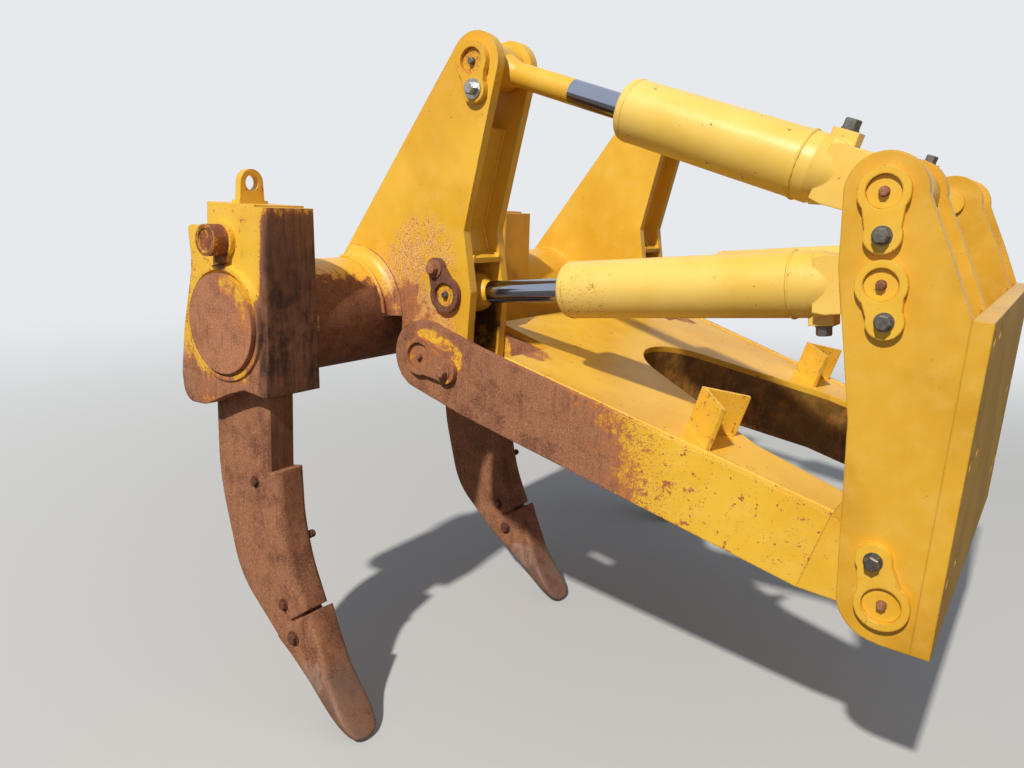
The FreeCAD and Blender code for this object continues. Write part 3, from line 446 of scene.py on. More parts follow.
# %% Finishes by node
PALE_RUST = (colour(134, 86, 62), colour(178, 118, 86), colour(214, 160, 120))
FINISHES = {
    "tower": dict(
        edge=0.42,
        zones=(
            ((-1.53, 0.66, 0.04), (0.14, WIDE, 0.16), 0.46),
            ((-1.6, 0.66, 0.12), (0.1, WIDE, 0.2), 0.16),
            ((-1.345, 0.66, 0.0), (0.05, WIDE, 0.3), 0.3),
        ),
        scuff=(
            ((-1.5, 0.7, 0.14), (0.18, WIDE, 0.28), 0.5),
            ((-1.57, 0.7, 0.1), (0.12, WIDE, 0.2), 0.22),
            ((-1.4, 0.7, 0.0), (0.2, WIDE, 0.14), 0.28),
            ((-1.42, 0.7, 0.36), (0.2, WIDE, 0.3), 0.16),
            ((-1.3, 0.7, 0.8), (0.2, WIDE, 0.3), 0.1),
        ),
        # oil, darkened further as painted shade between the towers' plates
        oil_and_shade=(((-1.36, 0.56, 0.05), (0.14, 0.09, 0.2), 0.8),),
    ),
    "tube": dict(
        level=0.1, drips=0.6, rust=(colour(94, 56, 38), colour(134, 86, 58), colour(186, 134, 96)),
        zones=(((-1.62, 0.95, -0.03), (0.33, 0.55, 0.232), 1.0),),
    ),
    "pocket": dict(
        level=0.06, edge=0.1, spots=0.75, drips=0.55,
        zones=(
            ((-1.575, 0.6, 0.05), (0.05, WIDE, 0.75), 1.0),
            ((-1.6, 0.6, -0.06), (0.07, WIDE, 0.2), 0.45),
            ((-1.76, 0.6, -0.22), (0.5, WIDE, 0.16), 0.6),
            ((-1.95, 0.6, -0.05), (0.07, WIDE, 0.35), 0.35),
            ((-1.77, 1.17, 0.245), (0.05, 0.035, 0.05), 1.0),
            ((-1.77, 0.12, 0.245), (0.05, 0.035, 0.05), 1.0),
            ((-1.57, 1.05, 0.41), (0.06, WIDE, 0.075), -0.55),
        ),
        dust=(((-1.97, 0.6, -0.15), (0.05, WIDE, 0.2), 0.45),),
        # painted shade: the pockets' front faces, darkened nearly to black
        painted_shade=(((-1.595, 0.6, -0.16), (0.026, WIDE, 0.55), 0.95),),
    ),
    "pocket_mid": dict(
        level=0.02, edge=0.2, drips=0.5, coat=(colour(232, 172, 44), colour(206, 146, 36)),
        zones=(((-1.76, 0.6, -0.25), (0.5, WIDE, 0.16), 0.6),),
    ),
    # oil, darkened further as painted shade between the towers' plates
    "tower_far": dict(level=-0.06, spots=0.2, oil_and_shade=(((-1.36, 0.56, 0.05), (0.14, 0.09, 0.2), 0.8),)),
    "cap": dict(
        level=0.72, rust=PALE_RUST, drips=0.1,
        zones=(
            ((-1.645, 1.2, 0.11), (0.05, WIDE, 0.07), -0.2),
            ((-1.7, 1.2, 0.17), (0.07, WIDE, 0.035), -0.2),
        ),
    ),
    "shank": dict(
        level=0.95, spots=0.0, drips=0.6,
        # painted shade: the shanks' front faces, darkened
        painted_shade=(((-1.64, 0.6, -0.35), (0.02, WIDE, 0.16), 0.7),),
    ),
    "wear": dict(
        level=0.95, spots=0.0, drips=0.5,
        polish=(((-1.33, 0.6, -1.03), (0.3, WIDE, 0.2), 0.62),),
        dust=(((-1.46, 0.6, -0.925), (0.07, WIDE, 0.06), 0.55),),
    ),
    "arm_side": dict(
        level=0.0, spots=1.0, coat=(colour(249, 197, 64), colour(240, 184, 50)),
        zones=(
            ((-1.35, 0.6, -0.55), (0.67, WIDE, 0.81), 0.85),
            ((-0.78, 0.6, -0.2), (0.16, WIDE, 0.26), 0.1),
            ((-1.405, 0.6, 0.03), (0.05, WIDE, 0.02), -0.42),
            ((-1.35, 0.6, 0.01), (0.05, WIDE, 0.022), -0.42),
            ((-1.3, 0.6, -0.03), (0.026, WIDE, 0.04), -0.42),
        ),
        scuff=(((-0.75, 0.7, -0.25), (0.35, WIDE, 0.25), 0.15),),
    ),
    "deck": dict(
        spots=0.55,
        zones=(((-1.15, 0.54, 0.0), (0.075, 0.065, 0.12), 0.56),),
        scuff=(((-1.1, 0.5, 0.0), (0.3, 0.3, 0.2), 0.2),),
        # oil, darkened further as painted shade between the towers' plates
        oil_and_shade=(((-1.33, 0.56, 0.02), (0.12, 0.14, 0.2), 0.6),),
    ),
    # painted shade: the slot's walls and floor take a darker coat and darker rust, for the shade deep between
    # the arm's plates
    "slot": dict(
        level=0.34, coat=(colour(122, 88, 32), colour(96, 66, 26)), drips=0.9,
        rust=(colour(58, 34, 24), colour(92, 58, 40), colour(134, 92, 62)),
    ),
    # painted shade: the bracket's coat is a darker ochre than the rest of the yellow
    "bracket": dict(level=-0.04, coat=(colour(228, 174, 54), colour(208, 152, 42))),
    "rusty": dict(level=0.62, edge=0.1),
    "keeper": dict(
        level=0.03, edge=0.3, rust=(colour(74, 46, 36), colour(116, 74, 56), colour(172, 122, 94)),
        zones=(((-1.39, 0.66, 0.18), (0.1, WIDE, 0.12), 0.75),),
    ),
    "clip": dict(level=0.08, edge=0.3, spots=0.9, coat=(colour(248, 196, 66), colour(240, 184, 54))),
    "pin": dict(level=0.75, spots=0.0),
    "pin_end": dict(level=0.36, edge=0.5, spots=0.8),
    "pin_head": dict(
        level=0.66, edge=-0.2, spots=0.0,
        rust=(colour(92, 50, 38), colour(122, 72, 52), colour(168, 116, 84)),
    ),
    "bolt_head": dict(
        level=1.2, edge=0.0, spots=0.0,
        rust=(colour(70, 40, 30), colour(104, 62, 44), colour(160, 108, 78)),
    ),
    "barrel": dict(
        level=-0.1, coat=(colour(248, 208, 106), colour(240, 197, 88)), spots=0.6,
        zones=(
            ((-0.95, 0.6, 0.16), (0.1, WIDE, 0.12), 0.42),
            ((-0.95, 0.6, 0.75), (0.06, WIDE, 0.1), 0.2),
        ),
        scuff=(((-1.0, 0.6, 0.15), (0.2, WIDE, 0.06), 0.4),),
    ),
}
finish = {name: weathered("steel_" + name, **recipe) for name, recipe in FINISHES.items()}
print("finishes", sorted(finish))

# %% [markdown]
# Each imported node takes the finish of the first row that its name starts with, so the
# longer names stand before the shorter. Only the material slot changes: the meshes are the
# construction model's own. The rods' eyes and directions are needed here, because the
# chrome starts at a distance along the rod.

# %% Hand each node its finish
WEARS = (
    ("tower_plates_left", "tower_far"), ("tower_plates", "tower"), ("tower_webs", "tower"),
    ("tower_collars", "tower"), ("cross_tube", "tube"), ("pocket_centre", "pocket_mid"),
    ("pocket_left", "pocket_mid"), ("pocket", "pocket"), ("end_caps", "cap"),
    ("shank_pins", "pin_head"), ("shank_guard", "wear"), ("shank_point", "wear"), ("shank", "shank"),
    ("arm_outer", "arm_side"), ("arm_inner", "arm_side"), ("arm_slot", "slot"), ("arm_floor", "slot"),
    ("arm_pins", "rusty"), ("arm_pin_keepers", "rusty"), ("arm_pin_bushes", "pin"), ("arm", "deck"),
    ("deck_clips", "clip"), ("head_keepers", "keeper"), ("head", "keeper"),
    ("tower_keepers", "keeper"), ("tower_pin_ends", "pin_end"), ("bracket", "bracket"),
    ("lift_barrel", "barrel"), ("tilt_barrel", "barrel"),
)
for name, thing in sorted(nodes.items()):
    match = [worn for start, worn in WEARS if name.startswith(start)]
    if match:
        thing.data.materials.clear()
        thing.data.materials.append(finish[match[0]])

LIFT_EYE, LIFT_RUN, LIFT_PAINT = Vector((-1.382, 0, 0.148)), Vector((0.99142, 0, 0.130718)), 0.092
TILT_EYE, TILT_RUN, TILT_PAINT = Vector((-1.316, 0, 0.788)), Vector((0.963977, 0, -0.265986)), 0.272
for kind, rod_finish in (("lift", chrome("chrome_lift", LIFT_EYE, LIFT_RUN, LIFT_PAINT)),
                         ("tilt", chrome("chrome_tilt", TILT_EYE, TILT_RUN, TILT_PAINT))):
    for side in ("right", "left"):
        rod = nodes[f"{kind}_rod_{side}"]
        rod.data.materials.clear()
        rod.data.materials.append(rod_finish)
print("bare nodes", [n for n, o in nodes.items() if not o.data.materials])

# %% [markdown]
# ## Pieces made here
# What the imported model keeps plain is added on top: worn points, bolts, weld beads and
# turned rings. Three helpers serve them. One bakes modifiers into a mesh, one makes an
# object, and one lays a skin over rings of points, which is all that a loft is.

# %% Helpers for pieces made here
SHANK_LINES = {"right": -1.05, "centre": 0.0, "left": 1.05}
CYLINDER_Y = 0.561


def plain(piece):
    """Bake a piece's modifiers into its mesh and take them off."""
    bpy.context.view_layer.update()
    graph = bpy.context.evaluated_depsgraph_get()
    made = bpy.data.meshes.new_from_object(piece.evaluated_get(graph))
    piece.modifiers.clear()
    piece.data = made
    made.name = piece.name
    return piece


def piece_of(name, mesh, material):
    """An object for a mesh, in one material where one is given."""
    made = bpy.data.objects.new(name, mesh)
    scene.collection.objects.link(made)
    if material:
        mesh.materials.clear()
        mesh.materials.append(material)
    return made


def skinned(name, rings, material, closed=False):
    """A skin over rings of points, capped at both ends or joined end to end."""
    skin = bmesh.new()
    loops = [[skin.verts.new(p) for p in ring] for ring in rings]
    for one, two in zip(loops, loops[1:] + loops[:1] if closed else loops[1:]):
        for i in range(len(one)):
            j = (i + 1) % len(one)
            skin.faces.new((one[i], one[j], two[j], two[i]))
    if not closed:
        skin.faces.new(loops[0])
        skin.faces.new(loops[-1])
    bmesh.ops.recalc_face_normals(skin, faces=skin.faces)
    mesh = bpy.data.meshes.new(name)
    skin.to_mesh(mesh)
    skin.free()
    mesh.shade_smooth()
    return piece_of(name, mesh, material)


print("three shanks at", sorted(SHANK_LINES.values()), "and cylinders", CYLINDER_Y, "m off the middle")

# %% [markdown]
# ## Worn digging points
# The real points are forgings that the soil has worn round: a square socket at the top
# that fans out to a broad, thin blade with a round end. No simple solid has that form, so
# each point is a loft. A few sections are given along it, each by its front and back place
# in the side view, its half width and how square it is, and smooth curves join them. A
# narrow neck reaches up into the shank, so that the joint under the guard shows dark steel.

# %% The points' sections
# columns: front x and z, back x and z, half width, squareness (2 is an ellipse)
NECK = ((-1.532, -0.736, -1.575, -0.776, 0.037, 9.0),
        (-1.515, -0.758, -1.604, -0.838, 0.037, 9.0),
        (-1.505, -0.752, -1.616, -0.842, 0.037, 9.0))
BLADE = ((-1.483, -0.738, -1.628, -0.846, 0.049, 9.0),
         (-1.479, -0.746, -1.622, -0.866, 0.050, 9.0),
         (-1.458, -0.790, -1.582, -0.894, 0.048, 8.0),
         (-1.432, -0.845, -1.536, -0.924, 0.049, 7.0),
         (-1.409, -0.895, -1.491, -0.952, 0.052, 6.0),
         (-1.384, -0.940, -1.446, -0.981, 0.057, 5.0),
         (-1.356, -0.982, -1.403, -1.009, 0.060, 4.5),
         (-1.328, -1.018, -1.363, -1.034, 0.059, 4.0),
         (-1.307, -1.044, -1.330, -1.057, 0.051, 3.5),
         (-1.294, -1.060, -1.311, -1.070, 0.038, 3.0),
         (-1.290, -1.067, -1.301, -1.075, 0.020, 2.6))
BLADE_STEPS = 4


def between(rows, steps):
    """Rows with smooth ones put between them, through a Catmull-Rom curve."""
    made = []
    for i in range(len(rows) - 1):
        a, b, c, d = (rows[max(0, min(len(rows) - 1, i + k))] for k in (-1, 0, 1, 2))
        for step in range(steps):
            t = step / steps
            made.append([0.5 * (2 * q + (r - p) * t + (2 * p - 5 * q + 4 * r - s) * t * t
                                + (3 * q - p - 3 * r + s) * t ** 3) for p, q, r, s in zip(a, b, c, d)])
    return made + [list(rows[-1])]


def section(row, middle, count=32):
    """A rounded rectangle round the middle of a front and a back place."""
    front_x, front_z, back_x, back_z, half, square = row
    ring = []
    for i in range(count):
        turn = math.tau * (i + 0.5) / count
        across, deep = (math.copysign(abs(v) ** (2 / square), v) for v in (math.cos(turn), math.sin(turn)))
        ring.append(((front_x + back_x) / 2 + deep * (front_x - back_x) / 2, middle + across * half,
                     (front_z + back_z) / 2 + deep * (front_z - back_z) / 2))
    return ring


for line, middle in SHANK_LINES.items():
    rings = [section(row, middle) for row in list(NECK) + between(BLADE, BLADE_STEPS)]
    point = skinned("worn_point_" + line, rings, finish["wear"])
    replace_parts(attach(point, "beam"), "shank_point_" + line)
    low = min(v.co.z for v in nodes["shank_point_" + line].data.vertices)
    print("worn_point_" + line, len(rings), "sections; the solid's tip is at", round(low, 4))

# %% [markdown]
# ## Bolts
# Every keeper plate is held by one hexagon bolt with a washer, the wear guards by bolts
# through the shank, and small hexagon plugs close the pins' grease holes and the ports.
# They differ only in size and place, so one Geometry Nodes tree makes them all: it puts a
# bolt on each point of a small cloud, turned along the point's axis and scaled by its size.

# %% A tree for hexagon bolts
# a head one unit across its flats has its corners this far out
HEAD_CORNERS = 0.5774


def socket(tree, name, kind, value=None, way="INPUT"):
    """A named input or output of a Geometry Nodes tree."""
    made = tree.interface.new_socket(name, in_out=way, socket_type="NodeSocket" + kind)
    if value is not None:
        made.default_value = value
    return made


def named(tree, name, kind):
    """An attribute of the points that the tree is given."""
    return node(tree, "GeometryNodeInputNamedAttribute", {"Name": name}, data_type=kind).outputs[0]


def finished(tree, given, shape):
    """Ends a tree: instances made real, in the finish that the tree is given."""
    real = node(tree, "GeometryNodeRealizeInstances", {0: shape})
    done = node(tree, "GeometryNodeSetMaterial",
                {"Geometry": real.outputs[0], "Material": given.outputs["Finish"]})
    node(tree, "NodeGroupOutput", {0: done.outputs[0]})
    return tree


def bolt_tree():
    tree = bpy.data.node_groups.new("hexagon_bolts", "GeometryNodeTree")
    socket(tree, "Geometry", "Geometry")
    socket(tree, "Head height", "Float", 0.62)
    socket(tree, "Washer radius", "Float", 0.9)
    socket(tree, "Washer height", "Float", 0.14)
    socket(tree, "Finish", "Material")
    socket(tree, "Geometry", "Geometry", way="OUTPUT")
    given = node(tree, "NodeGroupInput")
    tall, wide, thin = given.outputs[1], given.outputs[2], given.outputs[3]
    head = node(tree, "GeometryNodeMeshCylinder", {"Vertices": 6, "Radius": HEAD_CORNERS, "Depth": tall})
    crown = node(tree, "GeometryNodeExtrudeMesh",
                 {"Mesh": head.outputs["Mesh"], "Selection": head.outputs["Top"], "Offset Scale": 0.07})
    crown = node(tree, "GeometryNodeScaleElements",
                 {"Geometry": crown.outputs["Mesh"], "Selection": crown.outputs["Top"], "Scale": 0.84})
    half_up = add(tree, "Math", {0: tall, 1: 0.5, 2: 0.1}, operation="MULTIPLY_ADD").outputs[0]
    raised = add(tree, "CombineXYZ", {2: half_up})
    crown = node(tree, "GeometryNodeTransform",
                 {"Geometry": crown.outputs[0], "Translation": raised.outputs[0]})
    washer = node(tree, "GeometryNodeMeshCylinder", {"Vertices": 28, "Radius": wide, "Depth": thin})
    lift = add(tree, "CombineXYZ", {2: maths(tree, "MULTIPLY", thin, 0.5)})
    washer = node(tree, "GeometryNodeTransform",
                  {"Geometry": washer.outputs["Mesh"], "Translation": lift.outputs[0]})
    bolt = node(tree, "GeometryNodeJoinGeometry")
    for part in (crown, washer):
        tree.links.new(part.outputs[0], bolt.inputs[0])
    axis = named(tree, "axis", "FLOAT_VECTOR")
    turn = node(tree, "FunctionNodeAlignRotationToVector", {"Vector": axis}, axis="Z")
    spin = node(tree, "FunctionNodeRotateRotation", {"Rotation": turn.outputs[0]}, rotation_space="LOCAL")
    angle = node(tree, "FunctionNodeAxisAngleToRotation",
                 {"Axis": (0, 0, 1), "Angle": named(tree, "spin", "FLOAT")})
    tree.links.new(angle.outputs[0], spin.inputs[1])
    many = node(tree, "GeometryNodeInstanceOnPoints",
                {"Points": given.outputs[0], "Instance": bolt.outputs[0], "Rotation": spin.outputs[0],
                 "Scale": named(tree, "size", "FLOAT")})
    return finished(tree, given, many.outputs[0])


def fill(piece, tree, **values):
    """Give a piece the tree, with its named inputs set, and bake the result."""
    modifier = piece.modifiers.new("made", "NODES")
    modifier.node_group = tree
    for item in tree.interface.items_tree:
        key = item.name.replace(" ", "_").lower()
        if item.in_out == "INPUT" and key in values:
            modifier[item.identifier] = values[key]
    return plain(piece)


BOLTS = bolt_tree()
print("bolt tree", len(BOLTS.nodes), "nodes")

# %% [markdown]
# A bolt has to carry its own place, direction and size. These are written on the cloud as
# attributes, which the tree reads by name, and a small turn makes no two heads alike.

# %% Bolts from a cloud of points
SPIN_STEP, SPIN_MOST = 0.9, 1.05


def bolts(name, body, places, material, **sizes):
    """Bolts at (place, axis, width across flats), on one body."""
    cloud = bpy.data.meshes.new(name)
    cloud.from_pydata([place for place, axis, size in places], [], [])
    for label, kind, values in (("axis", "FLOAT_VECTOR", [c for p in places for c in p[1]]),
                                ("size", "FLOAT", [p[2] for p in places]),
                                ("spin", "FLOAT", [SPIN_STEP * i % SPIN_MOST for i in range(len(places))])):
        data = cloud.attributes.new(label, kind, "POINT").data
        data.foreach_set("vector" if kind == "FLOAT_VECTOR" else "value", values)
    piece = piece_of(name, cloud, None)
    fill(piece, BOLTS, finish=material, **sizes)
    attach(piece, body)
    print(name, len(places), "bolts,", len(piece.data.polygons), "faces")
    return piece


print("heads turn by", SPIN_STEP, "radians from one to the next")

# %% [markdown]
# Two of the bolts' finishes are clean metal: bright zinc on the towers' top bolts, and grey
# oiled steel on the bracket. Both are one mottled metal in two tints. The others rust like
# the steel round them and take its finishes.

# %% Bolt finishes
def metal(name, tint, rough):
    """Plated or oiled steel with faint mottling."""
    material, tree, shader = node_material(name)
    mottle = noise(tree, add(tree, "TexCoord").outputs["Object"], 90.0, 4)
    dark = tuple(c * 0.6 for c in tint[:3]) + (1.0,)
    tree.links.new(blend(tree, ramp(tree, mottle, 0.3, 0.7), tint, dark), shader.inputs["Base Color"])
    tree.links.new(total(tree, maths(tree, "MULTIPLY", mottle, 0.3), rough), shader.inputs["Roughness"])
    height = maths(tree, "MULTIPLY", mottle, 0.0003)
    bump = add(tree, "Bump", {"Height": height, "Distance": 1.0, "Strength": 1.0})
    tree.links.new(bump.outputs[0], shader.inputs["Normal"])
    shader.inputs["Metallic"].default_value = 0.9
    return material


zinc = metal("zinc_plate", colour(190, 190, 186), 0.2)
grey_steel = metal("grey_steel", colour(128, 124, 118), 0.35)
print("bolt finishes", zinc.name, grey_steel.name)

# %% [markdown]
# The bolts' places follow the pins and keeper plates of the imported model. Most come in
# pairs, one on each side, so a place is given once and repeated on the other side. Sizes
# are the widths across a head's flats.

# %% Bolts in their places
KEEPER_BOLT, HEAD_PLUG, ROD_PLUG, PORT_PLUG = 0.030, 0.018, 0.016, 0.032
KEEPER_FACE, ARM_FACE, ARM_PIN_FACE, PIN_FACE = 0.673, 0.723, 0.713, 0.663
SHANK_HALF = 0.048
GUARD_HOLES = ((-1.707, -0.397, 0.024), (-1.589, -0.746, 0.024), (-1.547, -0.836, 0.03))


def both_sides(*places):
    """Bolts that face outward on the right side and the left, each given as x, y, z and size."""
    return [((x, side * y, z), (0, side, 0), size) for side in (-1, 1) for x, y, z, size in places]


bolts("tower_top_bolts", "beam", both_sides((-1.303, KEEPER_FACE, 0.716, KEEPER_BOLT)), zinc)
bolts("tower_low_bolts", "beam", both_sides((-1.420, KEEPER_FACE, 0.222, KEEPER_BOLT)), finish["pin"])
bolts("tower_pin_plugs", "beam",
      both_sides((TILT_EYE.x, PIN_FACE, TILT_EYE.z, ROD_PLUG), (LIFT_EYE.x, PIN_FACE, LIFT_EYE.z, ROD_PLUG)),
      grey_steel, washer_radius=0.62)
bolts("arm_keeper_bolts", "arm",
      both_sides((-1.331, ARM_FACE, -0.065, KEEPER_BOLT), (-1.432, ARM_PIN_FACE, -0.036, ROD_PLUG)),
      finish["pin"], washer_radius=0.75)
bolts("head_bolts", "bracket",
      both_sides((-0.226, KEEPER_FACE, 0.402, KEEPER_BOLT), (-0.196, KEEPER_FACE, 0.227, KEEPER_BOLT),
                 (-0.140, KEEPER_FACE, -0.294, KEEPER_BOLT)), grey_steel, washer_radius=0.68)
bolts("head_pin_plugs", "bracket",
      both_sides((-0.236, PIN_FACE, 0.490, HEAD_PLUG), (-0.214, PIN_FACE, 0.302, HEAD_PLUG),
                 (-0.110, PIN_FACE, -0.392, HEAD_PLUG)), finish["pin"], washer_radius=0.62)
bolts("guard_bolts", "beam",
      [((x, line + side * SHANK_HALF, z), (0, side, 0), size)
       for line in SHANK_LINES.values() for x, z, size in GUARD_HOLES for side in (-1, 1)],
      finish["bolt_head"], head_height=0.3, washer_radius=0.75, washer_height=0.08)
bolts("guard_pin_ends", "beam",
      [((-1.59, line + SHANK_HALF, -0.558), (0, 1, 0), 0.02) for line in SHANK_LINES.values()],
      finish["bolt_head"], head_height=0.7, washer_radius=0.6)
for side, label in ((-1, "right"), (1, "left")):
    for kind, x, z, facing in (("tilt", -0.345, 0.6176, (0.266, 0, 0.964)),
                               ("lift", -0.3395, 0.1906, (0.1307, 0, -0.9914))):
        bolts(f"{kind}_port_plug_{label}", f"{kind}_barrel_{label}",
              [((x, side * CYLINDER_Y, z), facing, PORT_PLUG)], grey_steel, washer_radius=0.62)

# %% [markdown]
# ## Weld beads
# The ripper is cut from plate and welded. A bead is a thin rod of metal laid along a
# corner in small ripples, and paint doesn't hide it. The corners are given as lines; a
# second Geometry Nodes tree sweeps a circle along each and lets it swell and shrink with
# the distance along the line.

# %% A tree for weld beads
def bead_tree():
    tree = bpy.data.node_groups.new("weld_beads", "GeometryNodeTree")
    socket(tree, "Geometry", "Geometry")
    socket(tree, "Bead radius", "Float", 0.006)
    socket(tree, "Ripple pitch", "Float", 0.0075)
    socket(tree, "Ripple share", "Float", 0.16)
    socket(tree, "Seed", "Int", 7)
    socket(tree, "Finish", "Material")
    socket(tree, "Geometry", "Geometry", way="OUTPUT")
    given = node(tree, "NodeGroupInput")
    radius, pitch, share, seed = given.outputs[1:5]
    line = node(tree, "GeometryNodeMeshToCurve", {0: given.outputs[0]})
    step = maths(tree, "MULTIPLY", pitch, 0.34)
    line = node(tree, "GeometryNodeResampleCurve", {"Curve": line.outputs[0], "Length": step}, mode="LENGTH")
    keep = node(tree, "GeometryNodeCaptureAttribute", {0: line.outputs[0]})
    keep.capture_items.new("FLOAT", "Along")
    tree.links.new(node(tree, "GeometryNodeSplineParameter").outputs["Length"], keep.inputs[1])
    ring = node(tree, "GeometryNodeCurvePrimitiveCircle", {"Resolution": 6, "Radius": radius}, mode="RADIUS")
    rod = node(tree, "GeometryNodeCurveToMesh",
               {"Curve": keep.outputs[0], "Profile Curve": ring.outputs[0], "Fill Caps": True})
    wave = maths(tree, "DIVIDE", maths(tree, "MULTIPLY", keep.outputs[1], math.tau), pitch)
    wave = maths(tree, "SINE", wave)
    loose = add(tree, "TexNoise", {"Scale": 60.0, "Detail": 1.0, "W": seed}, noise_dimensions="4D").outputs[0]
    swell = maths(tree, "ADD", wave, maths(tree, "MULTIPLY", maths(tree, "SUBTRACT", loose, 0.5), 4.0))
    swell = maths(tree, "MULTIPLY", maths(tree, "MULTIPLY", swell, share), radius)
    outward = node(tree, "GeometryNodeInputNormal").outputs[0]
    push = add(tree, "VectorMath", {0: outward, "Scale": swell}, operation="SCALE")
    rod = node(tree, "GeometryNodeSetPosition", {"Geometry": rod.outputs[0], "Offset": push.outputs[0]})
    rod = node(tree, "GeometryNodeSetShadeSmooth", {0: rod.outputs[0]})
    return finished(tree, given, rod.outputs[0])


BEADS = bead_tree()
print("bead tree", len(BEADS.nodes), "nodes")

# %% [markdown]
# The lines are the corners where plates meet: straight runs, bends and circles. A weld
# runs on both sides of the ripper, so lines are given for the left and mirrored.

# %% Lines for beads
def beads(name, body, lines, material, radius):
    """Weld beads along lines, each a list of points, on one body."""
    points, edges = [], []
    for line in lines:
        start = len(points)
        points += [Vector(p) for p in line]
        edges += [(start + i, start + i + 1) for i in range(len(line) - 1)]
    mesh = bpy.data.meshes.new(name)
    mesh.from_pydata(points, edges, [])
    piece = fill(piece_of(name, mesh, None), BEADS, bead_radius=radius, finish=material)
    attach(piece, body)
    print(name, len(lines), "beads,", len(piece.data.polygons), "faces")
    return piece


def circle(centre, axis, radius, start=0.0, end=360.0, steps=72):
    """Points round a circle; angle nought points forward, or up for a tube along X."""
    axis = Vector(axis).normalized()
    first = Vector((1, 0, 0)) if abs(axis.x) < 0.5 else Vector((0, 0, 1))
    first = (first - axis * first.dot(axis)).normalized()
    second = Vector((0, 0, 1)) if abs(axis.x) < 0.5 else axis.cross(first)
    turn = [math.radians(start + (end - start) * i / steps) for i in range(steps + 1)]
    return [Vector(centre) + radius * (math.cos(t) * first + math.sin(t) * second) for t in turn]


def mirrored(lines):
    """The lines and the same lines on the other side."""
    return lines + [[(x, -y, z) for x, y, z in line] for line in lines]


print("a circle of beads has", len(circle((0, 0, 0), (0, 1, 0), 1.0)), "points")

# %% [markdown]
# On the arm frame beads run along the deck's edges and round the feet of the two angle
# clips. The frame slopes, so a place is given along it, across it and above its middle,
# and one function turns that into the shared frame.

# %% Beads on the arm frame
REAR_PIN_X, REAR_PIN_Z = -1.432, -0.036
FRONT_PIN_X, FRONT_PIN_Z = -0.110, -0.392
SLOPE = math.atan2(REAR_PIN_Z - FRONT_PIN_Z, FRONT_PIN_X - REAR_PIN_X)
DECK_RISE, CLIP_ALONG, CLIP_Y = 0.105, 0.763, 0.495


def on_arm(along, y, rise):
    """A place given along the arm from its rear pin, across it and above its middle."""
    return (REAR_PIN_X + along * math.cos(SLOPE) + rise * math.sin(SLOPE), y,
            REAR_PIN_Z - along * math.sin(SLOPE) + rise * math.cos(SLOPE))


def leg(along):
    """Half the frame's width, which tapers from a little way in front of the pin."""
    return 0.679 - 0.115 * max(0.0, along - 0.19)


arm_lines = [[on_arm(a, leg(a), rise) for a in (0.262, 0.6, 0.9, 1.19)] for rise in (-DECK_RISE, DECK_RISE)]
for ends in (((0.0, 0.0), (0.099, 0.099)), ((0.0, 0.0), (0.099, -0.099)), ((0.017, 0.0), (0.104, 0.082)),
             ((0.017, 0.0), (0.104, -0.082))):
    arm_lines.append([on_arm(CLIP_ALONG + a, CLIP_Y + b, DECK_RISE + 0.001) for a, b in ends])
beads("arm_welds", "arm", mirrored(arm_lines), finish["deck"], radius=0.005)

# %% [markdown]
# The towers' webs and collars, the pockets' mouths and the bracket's plates are welded
# too. Where the tube enters a pocket the bead is a circle that leans with the pocket's
# sloping flank.

# %% Beads on the towers, the cross tube and the bracket
TUBE_X, TUBE_Z, TUBE_BEAD = -1.766, 0.059, 0.167
WEB_FRONT = ((-1.317, 0.628), (-1.379, 0.340), (-1.357, 0.276), (-1.312, 0.261))
WEB_REAR = ((-1.807, 0.227), (-1.476, 0.667))
tower_lines = [[(x, y, z) for x, z in web] for web in (WEB_FRONT, WEB_REAR) for y in (0.622, 0.500)]
for y, radius, start, end in ((0.466, 0.168, -24, 108), (0.699, 0.169, 4, 96)):
    tower_lines.append([tuple(p) for p in circle((TUBE_X, y, TUBE_Z), (0, 1, 0), radius, start, end)])
beads("tower_welds", "beam", mirrored(tower_lines), finish["tower"], radius=0.006)


def flank(rise):
    """Half a pocket's width at a height above the tube's axis."""
    return 0.081 + 0.028 * (0.324 - rise)


def pocket_ring(middle, side):
    """Where the tube enters a pocket's sloping flank."""
    ring = circle((TUBE_X, 0.0, TUBE_Z), (0, 1, 0), TUBE_BEAD)
    return [(p.x, middle + side * flank(p.z - TUBE_Z), p.z) for p in ring]


mouths = (("right", 1), ("centre", -1), ("centre", 1), ("left", -1))
pocket_lines = [pocket_ring(SHANK_LINES[line], side) for line, side in mouths]
beads("pocket_welds", "beam", pocket_lines, finish["tube"], radius=0.008)
plate_lines = [[(-0.041, y, -0.488), (-0.041, y, 0.248)] for y in (0.624, 0.401, 0.369)]
beads("bracket_welds", "bracket", mirrored(plate_lines), finish["bracket"], radius=0.007)

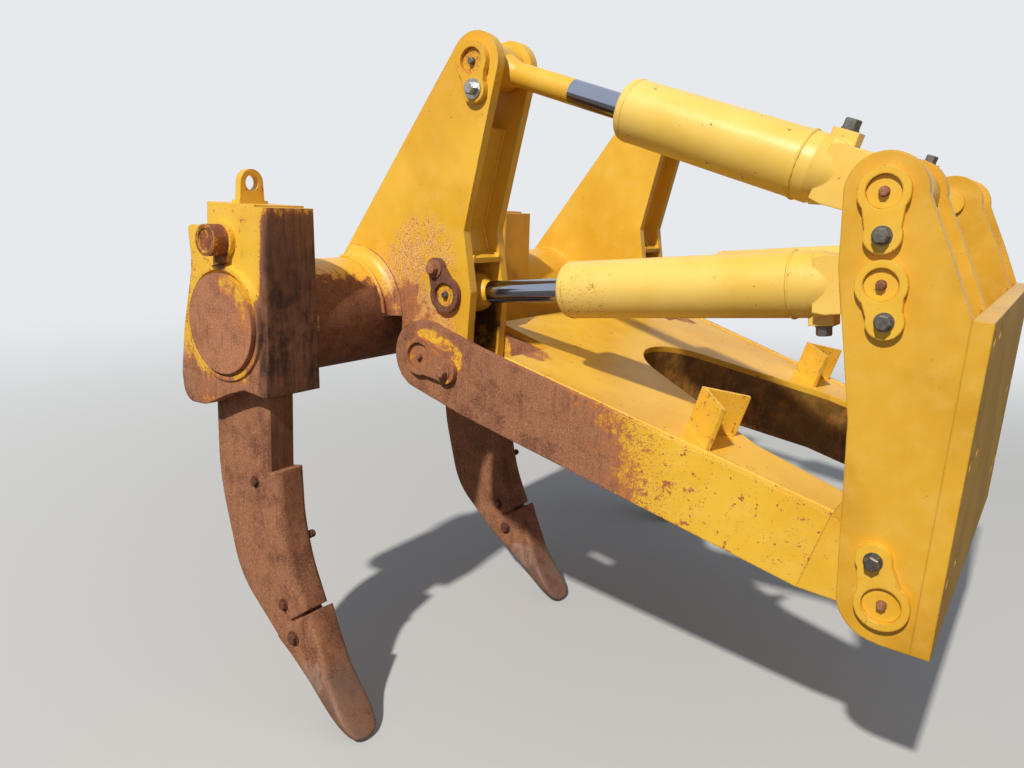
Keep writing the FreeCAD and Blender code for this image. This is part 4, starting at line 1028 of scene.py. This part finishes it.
# %% [markdown]
# ## Cylinder ends
# Each barrel's rounded nose is a gland that is let in and sealed: a fine raised bead shows
# its joint, and a dark wiper hugs the chrome. A weld ring joins the barrel's tube to its
# cast head. All are turned parts, so a profile is carried round the cylinder's axis.

# %% Glands, wipers and head welds
def lathe(name, origin, axis, profile, steps, material):
    """Carry a closed profile of (distance along, radius) round an axis."""
    axis = Vector(axis).normalized()
    first = axis.cross(Vector((0, 1, 0))).normalized()
    second = axis.cross(first)
    rings = []
    for i in range(steps):
        out = math.cos(math.tau * i / steps) * first + math.sin(math.tau * i / steps) * second
        rings.append([Vector(origin) + axis * along + out * radius for along, radius in profile])
    return skinned(name, rings, material, closed=True)


rubber, tree, shader = node_material("wiper_rubber")
grain = noise(tree, add(tree, "TexCoord").outputs["Object"], 300.0, 3)
tree.links.new(blend(tree, grain, colour(24, 22, 20), colour(60, 52, 42)), shader.inputs["Base Color"])
tree.links.new(total(tree, grain, 0.05), shader.inputs["Roughness"])

# profiles as distances along the cylinder from its mouth, and radii
GLAND = [(0.022, 0.074), (0.022, 0.0781), (0.0232, 0.0790), (0.0252, 0.0790), (0.0264, 0.0781),
         (0.0264, 0.074)]
WIPER = [(0.004, 0.0335), (-0.003, 0.0335), (-0.005, 0.0365), (-0.004, 0.044), (0.004, 0.046)]
SEAM_RADIUS = 0.0775
# kind, rod's eye, direction, and the distances from eye to mouth and to the head's weld
CYLINDERS = (("lift", LIFT_EYE, LIFT_RUN, 0.356, 0.975), ("tilt", TILT_EYE, TILT_RUN, 0.442, 0.917))
for side, label in ((-1, "right"), (1, "left")):
    for kind, eye, run, mouth, seam in CYLINDERS:
        eye = eye + Vector((0, side * CYLINDER_Y, 0))
        body = f"{kind}_barrel_{label}"
        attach(lathe(f"{kind}_gland_{label}", eye + run * mouth, run, GLAND, 72, finish["barrel"]), body)
        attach(lathe(f"{kind}_wiper_{label}", eye + run * mouth, run, WIPER, 48, rubber), body)
        weld = circle(eye + run * seam, run, SEAM_RADIUS)
        beads(f"{kind}_head_weld_{label}", body, [weld], finish["barrel"], radius=0.004)
